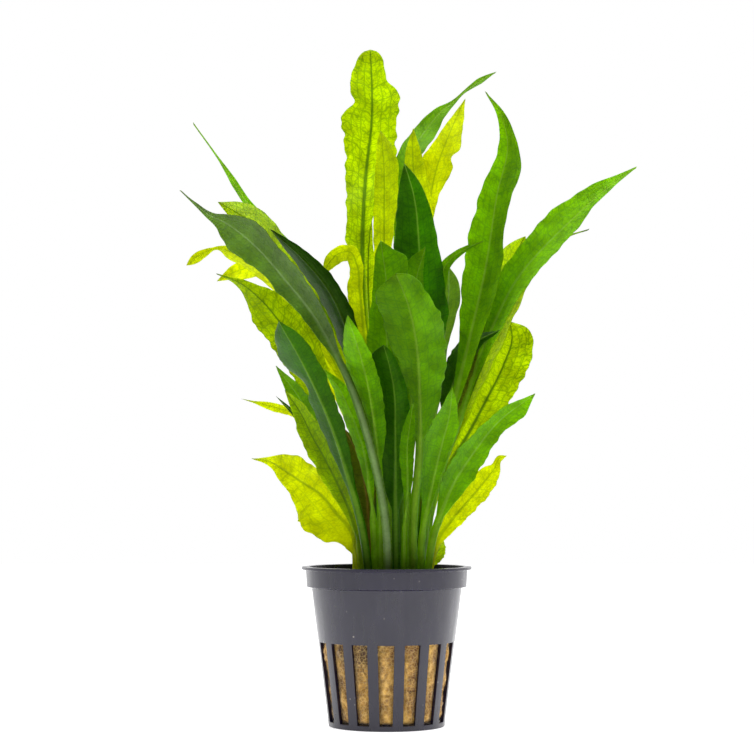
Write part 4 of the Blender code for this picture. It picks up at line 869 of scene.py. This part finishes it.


# Tissue of each look. young, fresh and brown are ages; lit is painted light, a brighter and yellower
# copy for leaves that light comes through; dark is older tissue with painted shade; grey is grey-green
# tissue with painted sheen in its colours. through: light seen through one blade. front: what it
# sends back. veins: the same two for the veins, and rib for the midrib. clear: how much of the light
# may pass. tint: what its wax gives the shine.
looks = {
    "young": {"through": "#D8E400", "front": "#8AA000", "vein": "#93AC00", "veinFront": "#A8B430",
              "rib": "#8CA400", "ribFront": "#9CAC20", "clear": 0.78, "gloss": 0.36, "tint": "#D8F040"},
    "lit": {"through": "#BEDC00", "front": "#4E7800", "vein": "#5E8600", "veinFront": "#7C9820",
            # lit: painted light, a brighter and yellower copy for leaves that light comes through
            "rib": "#3F6400", "ribFront": "#708C20", "clear": 0.76, "gloss": 0.34, "tint": "#C8F040"},
    "fresh": {"through": "#86C400", "front": "#2E6A00", "vein": "#4C8400", "veinFront": "#5E8C24",
              "rib": "#6A9A10", "ribFront": "#80A830", "clear": 0.66, "gloss": 0.34, "tint": "#B8F040"},
    # dark: older tissue with painted shade, for leaves in the shade of others
    "dark": {"through": "#3A7A00", "front": "#143E00", "vein": "#1E4A00", "veinFront": "#2C5810",
             "rib": "#5A8418", "ribFront": "#5E8424", "clear": 0.55, "gloss": 0.32, "tint": "#B8F060"},
    # grey: grey-green tissue with painted sheen in its front, vein and rib colours
    "grey": {"through": "#7CA81C", "front": "#3C6418", "vein": "#4A7410", "veinFront": "#6E8C50",
             "rib": "#6A9030", "ribFront": "#88A468", "clear": 0.6, "gloss": 0.28, "tint": "#E8FFD8"},
    "brown": {"through": "#6A7A08", "front": "#33420A", "vein": "#3E4A06", "veinFront": "#56601C",
              "rib": "#6A5A14", "ribFront": "#7A6024", "clear": 0.6, "gloss": 0.4, "tint": "#E0E060"},
}
veins = {
    "rise": 0.45, "warp": 1.5, "netAcross": 0.42, "netAlong": 0.9, "mainSpacing": 3.8, "mainHalf": 0.05,
    "lateral": (0.36, 0.68), "lateralHalf": 0.02, "net": 0.75, "main": 0.85, "side": 0.8,
    "tipFrom": 0.965, "tipBrown": "#4A3410", "spotBrown": "#1E140A",
}


def throughColour(hexColour):
    # a blade has two skins, so each one lets the root of the light through
    return tuple(v ** 0.5 for v in linear(hexColour)[:3]) + (1.0,)


def leafTissue(name, look):
    # Living leaf: a waxy, softly shining skin over thin green tissue. Light from behind comes through
    # it yellower than the light it sends back, and its veins show dark against that light.
    material, tree = newMaterial(name)
    place = addNode(tree, "SeparateXYZ", {0: addNode(tree, "Attribute", attribute_name="leafPlace").outputs["Vector"]})
    form = addNode(tree, "SeparateXYZ", {0: addNode(tree, "Attribute", attribute_name="leafForm").outputs["Vector"]})
    tone = addNode(tree, "SeparateXYZ", {0: addNode(tree, "Attribute", attribute_name="leafTone").outputs["Vector"]})
    spot = addNode(tree, "SeparateXYZ", {0: addNode(tree, "Attribute", attribute_name="leafSpot").outputs["Vector"]})
    c, along, across = (place.outputs[k] for k in range(3))
    away = addNode(tree, "Math", {0: across}, operation="ABSOLUTE")
    sheet = addNode(tree, "CombineXYZ", {0: across, 1: along})
    drift = addNode(tree, "TexNoise", {"Vector": sheet, "Scale": 0.3, "Detail": 2.0}, noise_dimensions="2D")
    shift = addNode(tree, "MapRange", {0: drift, 3: -veins["warp"], 4: veins["warp"]})
    rise = addNode(tree, "Math", {0: away, 1: -veins["rise"], 2: shift}, operation="MULTIPLY_ADD")
    level = addNode(tree, "Math", {0: along, 1: rise}, operation="ADD")

    # the fine net of cross veins, the stronger ones, the two pairs of long veins and the midrib
    netAcross = addNode(tree, "Math", {0: across, 1: veins["netAcross"]}, operation="MULTIPLY")
    netAlong = addNode(tree, "Math", {0: level, 1: veins["netAlong"]}, operation="MULTIPLY")
    net = addNode(tree, "TexVoronoi", {"Vector": addNode(tree, "CombineXYZ", {0: netAcross, 1: netAlong}), "Scale": 1.0},
                  feature="DISTANCE_TO_EDGE", voronoi_dimensions="2D")
    netLine = addNode(tree, "MapRange", {0: net, 1: 0.02, 2: 0.12, 3: veins["net"], 4: 0.0})
    mainAt = addNode(tree, "Math", {0: level, 1: veins["mainSpacing"]}, operation="DIVIDE")
    main = addNode(tree, "TexVoronoi", {"W": mainAt, "Scale": 1.0}, feature="DISTANCE_TO_EDGE", voronoi_dimensions="1D")
    mainLine = addNode(tree, "MapRange", {0: main, 1: 0.3 * veins["mainHalf"], 2: 1.6 * veins["mainHalf"],
                                          3: veins["main"], 4: 0.0})
    strongest = addNode(tree, "Math", {0: netLine, 1: mainLine}, operation="MAXIMUM")
    shareAway = addNode(tree, "Math", {0: c}, operation="ABSOLUTE")
    for lateral in veins["lateral"]:
        off = addNode(tree, "Math", {0: shareAway, 1: lateral}, operation="SUBTRACT")
        off = addNode(tree, "Math", {0: off}, operation="ABSOLUTE")
        line = addNode(tree, "MapRange", {0: off, 1: 0.3 * veins["lateralHalf"], 2: 1.5 * veins["lateralHalf"],
                                          3: veins["side"], 4: 0.0})
        strongest = addNode(tree, "Math", {0: strongest, 1: line}, operation="MAXIMUM")
    vein = addNode(tree, "Math", {0: strongest, 1: form.outputs[1]}, operation="MULTIPLY")
    ribShare = addNode(tree, "Math", {0: away, 1: form.outputs[0]}, operation="DIVIDE")
    rib = addNode(tree, "MapRange", {0: ribShare, 1: 0.7, 2: 1.5, 3: 1.0, 4: 0.0})

    # cloudy differences of age, painted light and shade from the leaf's tone, a browned tip and a speck
    cloud = addNode(tree, "TexNoise", {"Vector": sheet, "Scale": 0.16, "Detail": 4.0, "Roughness": 0.6},
                    noise_dimensions="2D")
    mottle = addNode(tree, "TexNoise", {"Vector": sheet, "Scale": 1.3, "Detail": 3.0}, noise_dimensions="2D")
    cloudLight = addNode(tree, "MapRange", {0: cloud, 1: 0.3, 2: 0.7, 3: 0.82, 4: 1.12})
    mottleLight = addNode(tree, "MapRange", {0: mottle, 1: 0.3, 2: 0.7, 3: 0.93, 4: 1.06})
    light = addNode(tree, "Math", {0: cloudLight, 1: mottleLight}, operation="MULTIPLY")
    # painted light and shade: the leaf's tone makes the whole blade, or one half of it, lighter or darker for how light
    # falls through and on it
    light = addNode(tree, "Math", {0: light, 1: tone.outputs[0]}, operation="MULTIPLY")
    tipNow = addNode(tree, "MapRange", {0: tone.outputs[2], 1: veins["tipFrom"], 2: 0.995})
    tipNow = addNode(tree, "Math", {0: tipNow, 1: tone.outputs[1]}, operation="MULTIPLY")
    spotAt = addNode(tree, "CombineXYZ", {0: spot.outputs[0], 1: spot.outputs[1]})
    toSpot = addNode(tree, "VectorMath", {0: sheet, 1: spotAt}, operation="DISTANCE").outputs["Value"]
    spotNow = addNode(tree, "Math", {0: spot.outputs[2], 1: toSpot}, operation="SUBTRACT")
    spotNow = addNode(tree, "MapRange", {0: spotNow, 1: -0.1, 2: 0.15})

    def layered(convert, blade, veinKey, ribKey, veinPart):
        part = addNode(tree, "Math", {0: vein, 1: veinPart}, operation="MULTIPLY")
        colour = addNode(tree, "Mix", {0: part, 6: convert(look[blade]), 7: convert(look[veinKey])}, data_type="RGBA")
        colour = addNode(tree, "Mix", {0: rib, 6: colour, 7: convert(look[ribKey])}, data_type="RGBA")
        colour = addNode(tree, "VectorMath", {0: colour, 3: light}, operation="SCALE")
        colour = addNode(tree, "Mix", {0: tipNow, 6: colour, 7: convert(veins["tipBrown"])}, data_type="RGBA")
        return addNode(tree, "Mix", {0: spotNow, 6: colour, 7: convert(veins["spotBrown"])}, data_type="RGBA")

    front = layered(linear, "front", "veinFront", "ribFront", 0.6)
    through = layered(throughColour, "through", "vein", "rib", 1.0)
    waxy = addNode(tree, "TexNoise", {"Vector": sheet, "Scale": 0.7, "Detail": 3.0}, noise_dimensions="2D")
    rough = addNode(tree, "MapRange", {0: waxy, 1: 0.3, 2: 0.7, 3: look["gloss"] - 0.06, 4: look["gloss"] + 0.1})
    cells = addNode(tree, "TexNoise", {"Vector": sheet, "Scale": 1.2, "Detail": 2.0}, noise_dimensions="2D")
    cellBump = addNode(tree, "Bump", {"Height": cells, "Strength": 0.12, "Distance": 0.00012})
    bump = addNode(tree, "Bump", {"Height": vein, "Strength": 0.5, "Distance": 0.00012, "Normal": cellBump}, invert=True)
    skin = addNode(tree, "BsdfPrincipled", {"Base Color": front, "Roughness": rough, "Normal": bump})
    skin.inputs["IOR"].default_value = 1.6
    skin.inputs["Specular IOR Level"].default_value = 0.35
    skin.inputs["Specular Tint"].default_value = linear(look["tint"])
    glow = addNode(tree, "BsdfTranslucent", {"Color": through, "Normal": cellBump})
    both = addNode(tree, "MixShader", {1: skin, 2: glow})
    both.inputs[0].default_value = look["clear"]
    finishMaterial(tree, both)
    return material


def makeLeaves():
    tissues = {key: leafTissue(key + "LeafTissue", look) for key, look in looks.items()}
    for number, item in enumerate(leaves):
        makeLeaf(number, item, tissues[item["look"]])


makeLeaves()
print(len(leaves), "leaves made")
